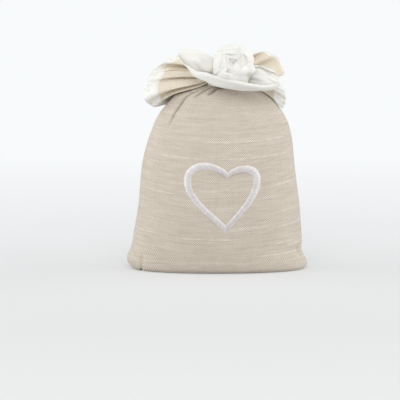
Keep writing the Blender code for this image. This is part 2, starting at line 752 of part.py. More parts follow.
def rose_petals():
    """Three layers of rose petals. In a layer each petal winds out over the next one's start."""
    radius = (BUD_RADIUS + PETAL_CLOTH / 2 + PETAL_GAP) / PETAL_TAPER
    number = 0
    for layer, count in enumerate(PETALS_PER_LAYER):
        for k in range(count):
            number += 1
            rise = np.linspace(0, 1, ROSE_PETAL_ROWS)[:, None]
            wind = np.linspace(0, 1, ROSE_PETAL_COLUMNS)[None, :]
            span = 2 * np.pi / count * PETAL_OVERLAP
            turn = 2 * np.pi * (k + PETAL_LAYER_TURN * layer) / count + span * wind
            length = ROSE_LENGTH * (1 - PETAL_EDGE_DROP * np.abs(2 * wind - 1) ** PETAL_EDGE_POWER)
            size = radius * (PETAL_TAPER + (1 - PETAL_TAPER) * rise) + PETAL_SPIRAL * wind
            size = size + PETAL_CURL * rise**3
            grid = rose_points(turn + 0 * rise, size, length * rise)
            points, faces = thick_sheet(grid, PETAL_CLOTH)
            add_mesh(f"rose_petal_{number:02d}", points, faces, "cotton")
        radius += (PETAL_SPIRAL + PETAL_CLOTH + PETAL_GAP) / PETAL_TAPER


def loft(name, curves, bulge):
    """A petal between two or three guide curves, bulged towards the front between them."""
    lines = [smooth_curve(points, LOFT_COLUMNS) + NECK for points in curves]
    rise = np.linspace(0, 1, LOFT_ROWS)[:, None, None]
    if len(lines) == 2:
        grid = lines[0] * (1 - rise) + lines[1] * rise
    else:
        low, middle, high = lines
        steer = 2 * middle - (low + high) / 2
        grid = low * (1 - rise) ** 2 + steer * 2 * rise * (1 - rise) + high * rise**2
    grid[..., 1] -= bulge * np.sin(np.pi * rise[..., 0])
    points, faces = thick_sheet(grid, PETAL_CLOTH)
    return add_mesh(name, points, faces, "cotton")


def build():
    """Builds every piece of the pouch."""
    clear_scene()
    panel("front_panel", 1)
    panel("back_panel", -1)
    side_seam("left_side_seam", -1)
    side_seam("right_side_seam", 1)
    bottom_seam("bottom_seam")
    filling("filling")
    heart("heart_embroidery")
    neck_casing("neck_casing")
    drawstring("drawstring")
    drawstring_knot("drawstring_knot")
    for label, side, rim, folds in (("left", -1, LEFT_RIM, LEFT_FOLDS), ("right", 1, RIGHT_RIM, RIGHT_FOLDS)):
        rim_line = smooth_curve(rim, WING_COLUMNS) + NECK
        root = wing_root(side, WING_COLUMNS)
        names = (f"{label}_frill", f"{label}_lace")
        frill_and_lace(names, rim_line, root, folds, WING_FOLD_DEPTH, WING_HINGE)
    rim_line = smooth_curve(BACK_RIM, BACK_COLUMNS) + NECK
    names = ("back_frill", "back_lace")
    frill_and_lace(names, rim_line, back_root(BACK_COLUMNS), BACK_FOLDS, BACK_FOLD_DEPTH, NECK)
    flower_backing("flower_backing")
    rose_pad("rose_pad")
    loft("left_petal", (LEFT_PETAL_LOWER, LEFT_PETAL_UPPER), PETAL_BULGE)
    loft("right_petal", (RIGHT_PETAL_LOWER, RIGHT_PETAL_UPPER), PETAL_BULGE)
    loft("cradle_petal", (CRADLE_BACK, CRADLE_KEEL, CRADLE_LIP), 0.0)
    rose_bud("rose_bud")
    rose_petals()


build()
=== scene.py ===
"""Dresses the gift pouch: slub linen, a stitched heart, a lace-edged frill and a cloth rose.

Lengths are metres in the part's own frame. Every new piece is a surface of two parameters, worked out
with numpy on a grid, and its UV map holds lengths on the cloth, so that a weave has its real pitch.
"""

import json
import math
from collections import namedtuple

import bmesh
import bpy
import numpy as np
from bpy.props import FloatProperty, FloatVectorProperty, PointerProperty
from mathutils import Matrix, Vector


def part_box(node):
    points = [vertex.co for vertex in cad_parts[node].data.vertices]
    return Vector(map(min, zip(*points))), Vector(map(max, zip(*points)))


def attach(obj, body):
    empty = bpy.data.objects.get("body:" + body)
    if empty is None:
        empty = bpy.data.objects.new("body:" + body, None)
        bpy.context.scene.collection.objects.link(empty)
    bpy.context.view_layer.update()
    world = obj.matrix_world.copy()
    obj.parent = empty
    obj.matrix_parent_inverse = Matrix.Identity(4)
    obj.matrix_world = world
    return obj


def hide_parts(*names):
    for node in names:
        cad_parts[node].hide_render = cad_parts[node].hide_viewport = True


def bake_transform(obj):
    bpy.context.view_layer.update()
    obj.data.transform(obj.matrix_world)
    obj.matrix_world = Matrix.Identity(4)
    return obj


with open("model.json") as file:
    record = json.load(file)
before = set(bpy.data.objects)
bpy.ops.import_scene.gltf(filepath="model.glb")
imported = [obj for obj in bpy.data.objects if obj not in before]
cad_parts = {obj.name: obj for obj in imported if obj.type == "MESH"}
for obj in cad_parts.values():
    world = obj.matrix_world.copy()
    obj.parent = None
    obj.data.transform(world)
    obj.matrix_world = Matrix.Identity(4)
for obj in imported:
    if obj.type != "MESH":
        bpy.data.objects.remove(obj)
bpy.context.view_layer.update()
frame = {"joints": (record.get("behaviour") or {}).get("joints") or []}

bl_info = {
    "name": "Linen Gift Pouch",
    "version": (1, 0, 0),
    "blender": (4, 5, 0),
    "location": "3D View > Sidebar > Pouch",
    "description": "Builds the cloth, stitching, lace and flower of a drawstring gift pouch",
    "category": "Mesh",
}

# Places read from the frame
PANEL_LOW, PANEL_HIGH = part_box("front_panel")
BACK_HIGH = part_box("back_panel")[1]
CASING_LOW, CASING_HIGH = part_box("neck_casing")
BACKING_LOW, BACKING_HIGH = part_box("flower_backing")
KNOT_LOW, KNOT_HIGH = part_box("drawstring_knot")
CORD_LOW, CORD_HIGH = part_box("drawstring")
JOINTS = {joint["name"]: joint for joint in frame["joints"]}
HINGE = np.array(JOINTS["left_frill_lift"]["pos_m"])
LEAN = float(HINGE[0])
NECK_HEIGHT = PANEL_HIGH.z
NECK = np.array([LEAN, 0.0, NECK_HEIGHT])
NECK_RADIUS = (CASING_HIGH.x - CASING_LOW.x) / 2
CASING_HEIGHT = CASING_HIGH.z - CASING_LOW.z
CORD_RADIUS = (CORD_HIGH.z - CORD_LOW.z) / 2
CORD_RING = (CORD_HIGH.x - CORD_LOW.x) / 2 - CORD_RADIUS
KNOT_LENGTH = KNOT_HIGH.x - KNOT_LOW.x

# Outline of the stuffed bag: its drawn mouth, its shoulders' curve, its bottom corners and its lean
MOUTH_RADIUS = 0.0076
SHOULDER_START = 0.046
SHOULDER_POWER = 2.8
CORNER_HEIGHT = 0.006
CORNER_ROUND = 0.0040
LEAN_POWER = 1.6
# Depth of the bag: the belly's height and curve, the round of the base, and the pinch at the seams
BELLY_HEIGHT = 0.039
BELLY_POWER = 2.3
EDGE_ROUND = 0.0035
SIDE_PINCH = 1.1
CORNER_PINCH = -0.35
PINCH_REACH = 0.012
# Side seams: half the gap between the panels, and how far the cloth tucks in along it
SEAM_HALF = 0.00004
SEAM_TUCK = 0.0005
SEAM_TUCK_REACH = 0.0010
SEAM_TUCK_RISE = 0.010
# Ears at the bottom corners: their heights, how far they reach up and down, and how narrow they are
LEFT_EAR_HEIGHT = 0.0060
RIGHT_EAR_HEIGHT = 0.0016
EAR_REACH = 0.0046
EAR_NARROW = 6.0
# Height above the floor at which the weft's sag is full
SAG_RISE = 0.016
# Waves of the soft lumps in radians per metre: across and up, each with its start, and a slanting one
LUMP_ACROSS = (95.0, 1.3)
LUMP_UP = (80.0, 0.6)
LUMP_SLANT = (150.0, -60.0)
LUMP_FADE = 0.02
LUMP_TOP = 0.090
# Where a side draws in a little, or swells: height, reach up and down, and depth
LEFT_DENTS = ((0.036, 0.016, 0.0012), (0.0895, 0.0085, -0.0011), (0.0985, 0.0033, -0.0022))
RIGHT_DENTS = ((0.060, 0.019, 0.0020), (0.0892, 0.0060, 0.0005), (0.0115, 0.0035, 0.0007))
# Short creases beside the bottom corners: start and end across and up, depth and half width
CORNER_CREASES = (
    (-0.0425, 0.0, -0.0420, 0.0085, 0.0010, 0.0007),
    (0.0480, 0.0065, 0.0448, 0.0122, 0.0009, 0.0007),
)

# Filling: how far it lies inside the bag, and its lumps with their waves round it, along it and up it
FILL_INSET = 0.0016
FILL_LUMP = 0.02
FILL_WAVES = (7.0, 90.0, 160.0)

# Creases of the gathered neck on one panel: turn from its middle in degrees, lowest height, depth and
# half width
FRONT_CREASES = (
    (-78.0, 0.0940, 0.0006, 0.0010),
    (-51.0, 0.0830, 0.0030, 0.0007),
    (-36.0, 0.0980, 0.0028, 0.0008),
    (-19.0, 0.0995, 0.0030, 0.0009),
    (-3.0, 0.1010, 0.0007, 0.0010),
    (22.0, 0.1000, 0.0008, 0.0009),
    (41.0, 0.0985, 0.0007, 0.0010),
    (63.0, 0.0930, 0.0008, 0.0008),
)
BACK_CREASES = (
    (-70.0, 0.0900, 0.0008, 0.0009),
    (-48.0, 0.0850, 0.0012, 0.0007),
    (-27.0, 0.0960, 0.0010, 0.0008),
    (-6.0, 0.0905, 0.0013, 0.0007),
    (14.0, 0.0985, 0.0010, 0.0009),
    (35.0, 0.0870, 0.0013, 0.0007),
    (58.0, 0.0950, 0.0008, 0.0009),
)
# How a crease deepens towards the neck, its width where it starts, and the ridge beside it in widths
CREASE_POWER = 0.55
CREASE_START_WIDTH = 0.35
RIDGE_AWAY = 2.6
RIDGE_WIDTH = 2.2
RIDGE_HEIGHT = 0.2

# Thick weft yarns that show on the front: height in the middle of the panel, start and end across it
FRONT_SLUBS = (
    (0.0747, -0.012, 0.046),
    (0.0654, -0.003, 0.047),
    (0.0654, -0.040, -0.006),
    (0.0502, 0.002, 0.013),
    (0.0483, 0.030, 0.054),
    (0.0474, -0.014, 0.004),
    (0.0446, -0.052, -0.022),
    (0.0260, 0.003, 0.030),
    (0.0245, 0.032, 0.060),
    (0.0208, -0.060, -0.033),
    (0.0202, -0.024, 0.012),
    (0.0152, 0.026, 0.048),
    (0.0095, 0.018, 0.052),
)
# How strong a known slub is, how its ends thin out, and how it swells along its length
SLUB_STRENGTH = 0.85
SLUB_END = 0.006
SLUB_SWELL = 0.3
SLUB_WAVE = 900.0
SLUB_PHASE = 3000.0
# Fainter random slubs: their number, and the ranges of their starts, lengths, heights and strengths
FAINT_SLUBS = 90
FAINT_STARTS = (-0.062, 0.05)
FAINT_LENGTHS = (0.004, 0.024)
FAINT_HEIGHTS = (0.0, 0.100)
FAINT_STRENGTHS = (0.15, 0.5)

# Heart, measured on the middle of its stitched band from the notch
HEART_NOTCH_X = 0.0058
HEART_NOTCH_Z = 0.0564
HEART_LEFT_WIDTH = 0.0220
HEART_RIGHT_WIDTH = 0.0166
HEART_LEFT_RISE = 0.0051
HEART_RIGHT_RISE = 0.0036
HEART_WIDEST_DROP = 0.0034
HEART_LENGTH = 0.0303
HEART_TIP_SHIFT = -0.0008
# Handles of the lobe's curve and the flank's curve, as shares of the half width, the rise and the fall
LOBE_START_WIDTH = 0.28
LOBE_START_RISE = 1.35
LOBE_TOP_RISE = 1.6
FLANK_START_FALL = 0.33
TIP_WIDTH = 0.5
TIP_FALL = 0.38
# Shares of the way from notch to tip at which the band's widths hold
BAND_PLACES = (0.0, 0.22, 0.45, 0.7, 1.0)
# Form of a stitch: how its crown rounds off, its ridge, its height at the band's edge, how far its ends
# sink into the cloth, and where they lie in the UV map
STITCH_ROUND = 2.5
STITCH_RIDGE = 0.2
STITCH_EDGE = 0.15
STITCH_SINK = 0.0003
STITCH_UNDER = 1.2

# Gathers of the neck
PLEATS = 17
PLEAT_DEPTH = 0.0011
PLEAT_START = 1.67
PLEAT_SLANT = 0.05
# How the pleats' spacing wavers: reach, waves round the neck and start
PLEAT_WAVERS = ((0.10, 3, 1.0), (0.06, 5, 0.0))
NECK_BARREL = 0.0003
NECK_DIMPLE = 0.0016
# Slot in front of the neck: its half turn in degrees, its share of the half height, and its radius
SLOT_TURN = 37.0
SLOT_TURN_EDGE = 3.0
SLOT_LEVEL = 0.84
SLOT_LEVEL_EDGE = 0.07
SLOT_RADIUS = 0.0036

# Cord and knot. A strand's offset and radius are shares of the cord's radius
CORD_TWISTS = 14
STRAND_OFFSET = 0.46
STRAND_RADIUS = 0.52
KNOT_STRAND = 0.34
KNOT_SWELL = 0.0003
KNOT_REACH = 3.0
KNOT_DEPTH = 1.1
KNOT_HEIGHT = 0.72

# Frill rims, measured from the neck point
LEFT_RIM = (
    (-0.0260, 0.0130, -0.0180),
    (-0.0310, 0.0090, -0.0125),
    (-0.0370, 0.0055, -0.0122),
    (-0.0420, 0.0000, -0.0108),
    (-0.0448, -0.0055, -0.0068),
    (-0.0448, -0.0048, -0.0005),
    (-0.0425, -0.0020, 0.0045),
    (-0.0395, 0.0010, 0.0078),
)
RIGHT_RIM = (
    (0.0250, 0.0100, -0.0180),
    (0.0290, 0.0030, -0.0122),
    (0.0325, -0.0015, -0.0122),
    (0.0342, -0.0045, -0.0085),
    (0.0338, -0.0048, -0.0035),
    (0.0315, -0.0025, 0.0010),
    (0.0275, 0.0005, 0.0040),
)
BACK_RIM = (
    (0.0326, 0.0130, 0.0080),
    (0.0312, 0.0129, 0.0126),
    (0.0270, 0.0127, 0.0162),
    (0.0205, 0.0126, 0.0175),
    (0.0120, 0.0138, 0.0165),
    (0.0000, 0.0146, 0.0140),
    (-0.0070, 0.0143, 0.0128),
    (-0.0150, 0.0135, 0.0138),
    (-0.0265, 0.0118, 0.0152),
    (-0.0335, 0.0108, 0.0126),
    (-0.0395, 0.0098, 0.0078),
    (-0.0430, 0.0092, 0.0040),
)
# How far the frill's folds stand forward in fold units, at even steps from its first edge to its last
FOLD_UNIT = 0.001
LEFT_FOLDS = (0.0, -0.8, -2.2, 1.2, 3.0, 0.2, 2.3, 0.8, -0.8, 1.2, -1.6, -1.2)
RIGHT_FOLDS = (0.0, 0.2, 1.4, 0.8, -0.6, 1.0, 1.4, -0.2, -0.4)
BACK_FOLDS = (
    *(0.4, 1.0, -1.2, 0.8, -1.8, 1.2, 1.8, -1.0, -1.8),
    *(1.0, 2.0, -1.0, -1.6, 1.2, 1.6, -1.2, -0.8, 0.4),
)
# Where a frill starts: angles about the hinge or the neck in degrees, depths, and how far it sinks in
WING_ROOT_ANGLES = (-20.0, 14.0)
WING_ROOT_DEPTHS = (-0.0015, 0.0005)
BACK_ROOT_ANGLES = (38.0, 142.0)
ROOT_SINK = 0.0008
# Form of the folds, ripples, swell and arch, and the gap between a frill and the shoulder
FOLD_POWER = 0.75
FOLD_RIM = 0.3
FOLD_DROOP = 0.35
RIPPLES = 8.0
RIPPLE_SLANT = 0.5
SWELL_REACH = 0.3
FRILL_BELLY = 0.0020
ARCH_POWER = 1.6
FRILL_CLEARANCE = 0.0006
# Lace: how far it laps over the cloth, the ridge of its seam, and what is added to its flat cut
SEAM_LAP = 0.0009
HEM_RIDGE = 0.0003
HEM_REACH = 0.0006
# How far along a frill its lace slips under the cloth, the small holes' share of the lace's width, and
# where the scallops start across it
LACE_TUCK_REACH = 0.6
BEADING_SHARE = 0.36
SCALLOP_START = 0.72

# Flower guide curves, measured from the neck point
LEFT_PETAL_LOWER = (
    (-0.0257, -0.0135, 0.0193),
    (-0.0180, -0.0140, 0.0102),
    (-0.0103, -0.0133, 0.0060),
    (-0.0045, -0.0122, 0.0038),
)
LEFT_PETAL_UPPER = (
    (-0.0253, -0.0130, 0.0217),
    (-0.0169, -0.0140, 0.0220),
    (-0.0107, -0.0135, 0.0196),
    (-0.0045, -0.0122, 0.0150),
)
RIGHT_PETAL_LOWER = (
    (0.0125, -0.0150, 0.0030),
    (0.0200, -0.0196, 0.0026),
    (0.0260, -0.0180, 0.0022),
    (0.0298, -0.0158, 0.0036),
)
RIGHT_PETAL_UPPER = (
    (0.0125, -0.0124, 0.0108),
    (0.0198, -0.0150, 0.0116),
    (0.0259, -0.0158, 0.0092),
    (0.0298, -0.0156, 0.0062),
)
CRADLE_BACK = (
    (-0.0212, -0.0142, 0.0131),
    (-0.0170, -0.0136, 0.0082),
    (-0.0107, -0.0120, 0.0050),
    (-0.0046, -0.0116, 0.0020),
    (0.0076, -0.0116, 0.0013),
    (0.0155, -0.0117, 0.0013),
    (0.0250, -0.0126, 0.0008),
    (0.0298, -0.0138, 0.0022),
)
CRADLE_KEEL = (
    (-0.0213, -0.0148, 0.0130),
    (-0.0172, -0.0160, 0.0080),
    (-0.0107, -0.0176, 0.0048),
    (-0.0046, -0.0184, 0.0022),
    (0.0076, -0.0190, 0.0008),
    (0.0155, -0.0190, 0.0004),
    (0.0252, -0.0174, -0.0002),
    (0.0302, -0.0152, 0.0022),
)
CRADLE_LIP = (
    (-0.0211, -0.0150, 0.0133),
    (-0.0166, -0.0166, 0.0098),
    (-0.0107, -0.0196, 0.0086),
    (-0.0046, -0.0226, 0.0066),
    (0.0076, -0.0256, 0.0042),
    (0.0155, -0.0246, 0.0032),
    (0.0230, -0.0214, 0.0022),
    (0.0302, -0.0166, 0.0036),
)
# Flat cuts of the loose petals
LEFT_FLAT_SIZE = (0.024, 0.015)
RIGHT_FLAT_SIZE = (0.019, 0.0125)
CRADLE_FLAT_SIZE = (0.055, 0.018)
# Form of a loose petal: its bulge, the turn of its rolled lip in degrees, how thin the lip's ends are, and
# the range of the crumples' waves along it
PETAL_BULGE = 0.0018
LIP_TURN = 210.0
LIP_STEPS = 10
LIP_END = 0.25
CRUMPLE_ALONG = (0.25, 0.9)

# Rose: its place before the backing, its tilt in degrees, and its lumpy dome
ROSE_X = 0.0048
ROSE_Z = 0.0128
ROSE_STANDOFF = 0.0038
ROSE_TILT = 24.0
ROSE_RADIUS = 0.0100
ROSE_RISE = 0.0082
ROSE_ROUND = 0.7
ROSE_LUMP = 0.0005
ROSE_LUMP_PITCH = 0.0075
# Pad between the backing and the rose
ROSE_PAD_RADIUS = 0.0056
ROSE_PAD_SINK = -0.0003
ROSE_PAD_SEAT = 0.0002
# Bud: a strip rolled up between two radii, tapered and slanting at its top
BUD_RADII = (0.0004, 0.0023)
BUD_LENGTH = 0.0096
BUD_TURNS = 2.5
BUD_TAPER = 0.35
BUD_SLANT = 0.18
BUD_CLOTH = 0.00035
# Petals of the rose, from the inner layer to the outer one. A span is the part of the dome's climb that a
# layer covers, and turns and laps are shares of a petal
PETALS_PER_LAYER = (3, 4, 5)
PETAL_SPANS = ((0.50, 0.96), (0.25, 0.82), (0.0, 0.64))
PETAL_OVERLAP = 1.2
PETAL_LAYER_TURN = 0.4
PETAL_SPACING = 0.00055
PETAL_LAP = 0.8
PETAL_HEIGHTS = (0.90, 1.03)
PETAL_FLARE = 0.0003
PETAL_FLARES = (0.4, 1.4)
PETAL_TIP_WAVE = 0.05
PETAL_EDGE_DROP = 0.28
PETAL_EDGE_POWER = 2.2
PETAL_WAVE = 0.0003
PETAL_WAVES = 1.4
PETAL_JITTER = 0.10
# Rolled rim of a rose petal: its turn in degrees
RIM_TURN = 150.0
RIM_STEPS = 8

# Weaves: threads per metre, how far they wander, height of the relief, sheen, and how pale the weft is
Weave = namedtuple("Weave", "threads wander relief sheen pale_weft")
SLUB_LINEN = Weave(1540.0, 0.0003, 0.00016, 0.30, 0.9)
CREAM_LINEN = Weave(1700.0, 0.0003, 0.00012, 0.20, 0.2)
EYELET_LACE = Weave(2400.0, 0.0002, 0.00005, 0.15, 0.2)
WHITE_COTTON = Weave(3200.0, 0.0002, 0.00005, 0.15, 0.2)
WANDER_SCALE = 110.0
# Shares in a cloth's colour of a yarn's tone, of the weave's height, which paints shade into the gaps
# between yarns, and of the weft
TONE_SHARE = 0.8
GAP_SHADE_SHARE = 0.3
WEFT_MIDDLE = 0.4
# Straight lines, as a factor and a start: faint clouds, cover of a slub, and roughness over the tone
CLOUD_SCALE = 45.0
CLOUD_TINT = (0.14, 0.93)
SLUB_COVER = (0.6, 0.25)
CLOTH_ROUGHNESS = (-0.12, 0.95)
# Yarns: how fast their tone changes along them and from yarn to yarn, and the share that is each one's own
YARN_RUN = 90.0
YARN_STEP = 7.31
YARN_OWN = 0.15
WARP_SPREAD = 0.4
WEFT_SPREAD = 1.6
# Stitches, cord and fibres: shares of their colour, with painted light on the stitches' crowns and painted
# shade in the cord's grooves, and waves or grains per metre
STITCH_OWN = 0.5
STITCH_PAINTED_LIGHT = (0.2, 0.35)
STITCH_ROUGHNESS = (0.15, 0.36)
CORD_SLANT = 1.4
CORD_FIBRES = 14000.0
CORD_PAINTED_SHADE = (0.3, 0.6)
LOOSE_FIBRES = 900.0
FELT_FIBRES = 2200.0
FIBRE_SHADE = 0.82

# Stage: half the floor's side, where it fades into the backdrop, and the lamps' places
FLOOR_HALF = 6.0
FADE_START = -0.20
FADE_END = 0.42
LAMP_AIM = (0.0, 0.0, 0.06)
KEY_LAMP_PLACE = (0.0, -0.95, 0.85)
KEY_LAMP_WIDTH = 1.0
LEFT_LAMP_PLACE = (-0.95, -0.05, 0.35)
RIGHT_LAMP_PLACE = (0.95, -0.05, 0.35)
SIDE_LAMP_WIDTH = 1.2

# Mesh detail: rows and columns, or points along a line. Sharp creases have columns of their own, in degrees
WELD_DISTANCE = 2e-6
HALVINGS = 30
PROFILE_POINTS = 2000
BAG_COLUMNS = 173
BAG_ROWS = 230
SHARP_CREASE = 0.0015
CREASE_COLUMNS = (-0.85, -0.5, -0.22, 0.0, 0.22, 0.5, 0.85)
COLUMN_GAP = 0.2
FLOOR_ROWS = 10
FILL_MESH = (60, 96)
HEART_CURVE = 200
HEART_LINE = 401
HEART_POINTS = 420
STITCH_COLUMNS = 13
NECK_MESH = (61, 360)
NECK_TOP_ROWS = 14
CORD_MESH = (220, 10)
KNOT_MESH = (180, 12)
FRILL_ROWS = 37
LACE_POINTS = 1200
BEADING_POINTS = 4
EYELET_POINTS = 8
HOLE_RINGS = (0.0, 0.35, 0.7, 1.0)
THREAD_MESH = (16, 6)
LEAF_MESH = (30, 81)
BUD_MESH = (16, 90)
PETAL_MESH = (24, 40)
PAD_MESH = (24, 72)
DISC_MESH = (13, 72)
RANDOM_SEED = 7

# A frill: its name, body and side, the curve of its rim, its folds, how far its first edge swells and
# arches up, the columns of its mesh, the width of its lace and how much of it slips under the cloth, and
# the size of its flat cut with the share of it that shows
Frill = namedtuple("Frill", "name body side rim folds swell arch columns lace tuck flat share")
FRILLS = (
    Frill(
        name="left", body="left_flap", side=-1, rim=LEFT_RIM, folds=LEFT_FOLDS, swell=(0.0, 0.0, 0.0),
        arch=0.0032, columns=161, lace=0.0090, tuck=0.95, flat=(0.040, 0.034), share=0.79,
    ),
    Frill(
        name="right", body="right_flap", side=1, rim=RIGHT_RIM, folds=RIGHT_FOLDS, swell=(0.0, 0.0, 0.0),
        arch=0.0, columns=111, lace=0.0075, tuck=0.0, flat=(0.028, 0.022), share=0.60,
    ),
    Frill(
        name="back", body="pouch", side=0, rim=BACK_RIM, folds=BACK_FOLDS, swell=(0.0102, 0.0012, -0.0050),
        arch=0.0, columns=241, lace=0.0050, tuck=0.45, flat=(0.080, 0.020), share=0.65,
    ),
)
# A row of holes in the lace: its cells, its middle and height as shares of the lace's width, the radius of
# a hole and the points along a cell's side
HoleRow = namedtuple("HoleRow", "cells middle height radius per_side")


def srgb(red, green, blue):
    """A linear colour from the 0 to 255 values of a screen colour."""
    values = np.array([red, green, blue]) / 255
    linear = np.where(values <= 0.04045, values / 12.92, ((values + 0.055) / 1.055) ** 2.4)
    return tuple(float(value) for value in linear)


def amount(name, description, default, **kind):
    """A property that holds a number, with its unit, subtype or limits where it has them."""
    return FloatProperty(name=name, description=description, default=default, **kind)


def length(name, description, default):
    """A property that holds a length."""
    return amount(name, description, default, min=0.0, precision=5, unit="LENGTH")


def colour(name, description, default):
    """A property that holds a colour."""
    return FloatVectorProperty(
        name=name, description=description, default=srgb(*default), min=0.0, max=1.0, subtype="COLOR"
    )


class PouchSizes(bpy.types.PropertyGroup):
    """Sizes of the stuffed linen bag."""

    side_width: length("Side width", "Width of the straight sides at the floor", 0.0986)
    shoulder_width: length("Shoulder width", "Width that the sides taper to at the neck", 0.0808)
    depth: length("Depth", "Depth of the belly from front to back", BACK_HIGH.y - PANEL_LOW.y)
    base_depth: length("Base depth", "Depth of the bag just above its base", 0.046)
    left_ear: length("Left ear", "How far the left bottom corner stands out", 0.0019)
    right_ear: length("Right ear", "How far the right bottom corner stands out", 0.0025)
    grain_sag: length("Grain sag", "How far the weft hangs lower in the middle than at the sides", 0.0040)
    cloth: length("Cloth", "Thickness of the linen", 0.0008)
    lump: length("Lump", "Height of the soft lumps of the filling under the cloth", 0.00025)
    slub: length("Slub", "Height of a thick yarn above the cloth", 0.00012)


class HeartSizes(bpy.types.PropertyGroup):
    """Sizes of the stitched heart."""

    band: length("Band", "Width of the stitched band", 0.0042)
    notch_band: length("Notch band", "Width of the band at the notch", 0.0027)
    tip_band: length("Tip band", "Width of the band along the lower flanks and at the tip", 0.0034)
    height: length("Height", "Height of the stitches above the cloth", 0.0011)
    pitch: length("Pitch", "Distance from one stitch to the next", 0.00036)
    raggedness: length("Raggedness", "How unevenly the stitches end", 0.00016)


class FrillSizes(bpy.types.PropertyGroup):
    """Sizes of the frill and its lace."""

    cloth: length("Cloth", "Thickness of the frill's cloth", 0.0006)
    folds: amount("Folds", "How deep the main folds are, against the usual", 1.7)
    ripple_depth: length("Ripple depth", "Depth of the small ripples between the folds", 0.0003)
    lace_cloth: length("Lace cloth", "Thickness of the lace", 0.0004)
    eyelet_pitch: length("Eyelet pitch", "Distance from one large eyelet to the next", 0.0034)
    eyelet_radius: length("Eyelet radius", "Radius of a large eyelet", 0.00052)
    beading_radius: length("Beading radius", "Radius of a small hole beside the seam", 0.00030)
    thread: length("Thread", "Thickness of the thread round an eyelet", 0.00030)
    scallop: length("Scallop", "Depth of the scallops on the edge", 0.0004)


class FlowerSizes(bpy.types.PropertyGroup):
    """Sizes of the cloth flower."""

    cloth: length("Cloth", "Thickness of the petals", 0.0007)
    lip: length("Lip", "Radius of the rolled edge of the loose petals", 0.0008)
    rim: length("Rim", "Radius of the rolled edge of the rose's petals", 0.0005)
    crumple: length("Crumple", "Depth of the crumples in the petals", 0.0004)


class ClothColours(bpy.types.PropertyGroup):
    """Colours of the cloths, threads and fillings."""

    # Each cloth's light and dark span its yarns' own tones and also painted light: yarn tops lighter and the
    # gaps between yarns darker with the weave's height
    linen_light: colour("Linen light", "Top of a linen yarn", (224, 214, 201))
    linen_dark: colour("Linen dark", "Gap between linen yarns", (150, 136, 119))
    slub: colour("Slub", "Thick pale weft yarns", (244, 238, 228))
    frill_light: colour("Frill light", "Top of a frill yarn", (238, 230, 215))
    frill_dark: colour("Frill dark", "Gap between frill yarns", (207, 191, 167))
    lace_light: colour("Lace light", "Top of a lace yarn", (245, 244, 241))
    lace_dark: colour("Lace dark", "Gap between lace yarns", (230, 226, 219))
    cotton_light: colour("Cotton light", "Top of a cotton yarn", (241, 240, 235))
    cotton_dark: colour("Cotton dark", "Gap between cotton yarns", (222, 219, 211))
    # Satin: besides each stitch's own tone, the bright and dull sides are a painted highlight and painted
    # shade across each stitch
    satin_light: colour("Satin light", "Bright side of a satin stitch", (239, 235, 234))
    satin_dark: colour("Satin dark", "Dull side of a satin stitch", (214, 206, 206))
    # Cord: its crown and groove colours are painted light and painted shade
    cord_light: colour("Cord light", "Crown of the cord's strands", (232, 222, 204))
    cord_dark: colour("Cord dark", "Groove between the cord's strands", (190, 174, 150))
    fibre: colour("Fibre", "Loose filling", (243, 242, 238))


class StageSettings(bpy.types.PropertyGroup):
    """Camera, light and backdrop."""

    lens: amount("Lens", "Focal length of the camera", 500.0, unit="CAMERA")
    elevation: amount("Elevation", "Angle of the camera above the floor", math.radians(9.0), subtype="ANGLE")
    view_width: length("View width", "Width of the view at the middle of the pouch", 0.2248)
    aim_x: amount("Aim X", "Middle of the view across", -0.0094, unit="LENGTH")
    aim_z: amount("Aim Z", "Height of the middle of the view", 0.0385, unit="LENGTH")
    ambient: amount("Ambient", "Strength of the light from all round", 0.60)
    key_light: amount("Key light", "Power of the lamp above the camera", 6.0, unit="POWER")
    side_light: amount("Side light", "Power of each side lamp", 6.6, unit="POWER")
    floor: colour("Floor", "Colour of the floor", (219, 219, 219))
    backdrop: colour("Backdrop", "Colour of the backdrop", (248, 250, 251))


def unit(vectors):
    """Vectors along the last axis, scaled to length one."""
    return vectors / np.maximum(np.linalg.norm(vectors, axis=-1, keepdims=True), 1e-12)


def bell(value, reach):
    """A bell curve: 1 where the value is 0, and next to nothing two reaches away."""
    return np.exp(-((value / reach) ** 2))


def full_turn(count):
    """Evenly spaced angles of a full turn, without its end."""
    return np.linspace(0, 2 * np.pi, count, endpoint=False)


def run_along(line):
    """Length along a line at each of its points."""
    return np.append(0.0, np.cumsum(np.linalg.norm(np.diff(line, axis=0), axis=1)))


def shares(rows, columns):
    """Two grids of shares from 0 to 1: down the rows, and along the columns."""
    return np.meshgrid(np.linspace(0, 1, rows), np.linspace(0, 1, columns), indexing="ij")


def smooth_step(value):
    """Rises smoothly from 0 to 1 as the value goes from 0 to 1."""
    share = np.clip(value, 0.0, 1.0)
    return share * share * (3 - 2 * share)


def grid_normals(grid):
    """Unit normals of a grid of points: columns' direction crossed with the rows' direction."""
    return unit(np.cross(np.gradient(grid, axis=1), np.gradient(grid, axis=0)))


def grid_quads(rows, columns, wrap=False, flip=False):
    """Corner numbers of a grid's quads. The columns join round where the grid wraps."""
    i, j = np.meshgrid(np.arange(rows - 1), np.arange(columns if wrap else columns - 1), indexing="ij")
    right = (j + 1) % columns
    corners = [i * columns + j, i * columns + right, (i + 1) * columns + right, (i + 1) * columns + j]
    quads = np.stack(corners, axis=-1).reshape(-1, 4)
    return quads[:, ::-1] if flip else quads


def corner_uv(uv, flip=False):
    """UV of every quad's corners, from a grid of UV values."""
    corners = np.stack([uv[:-1, :-1], uv[:-1, 1:], uv[1:, 1:], uv[1:, :-1]], axis=2)
    if flip:
        corners = corners[:, :, ::-1]
    return corners.reshape(-1, 2)


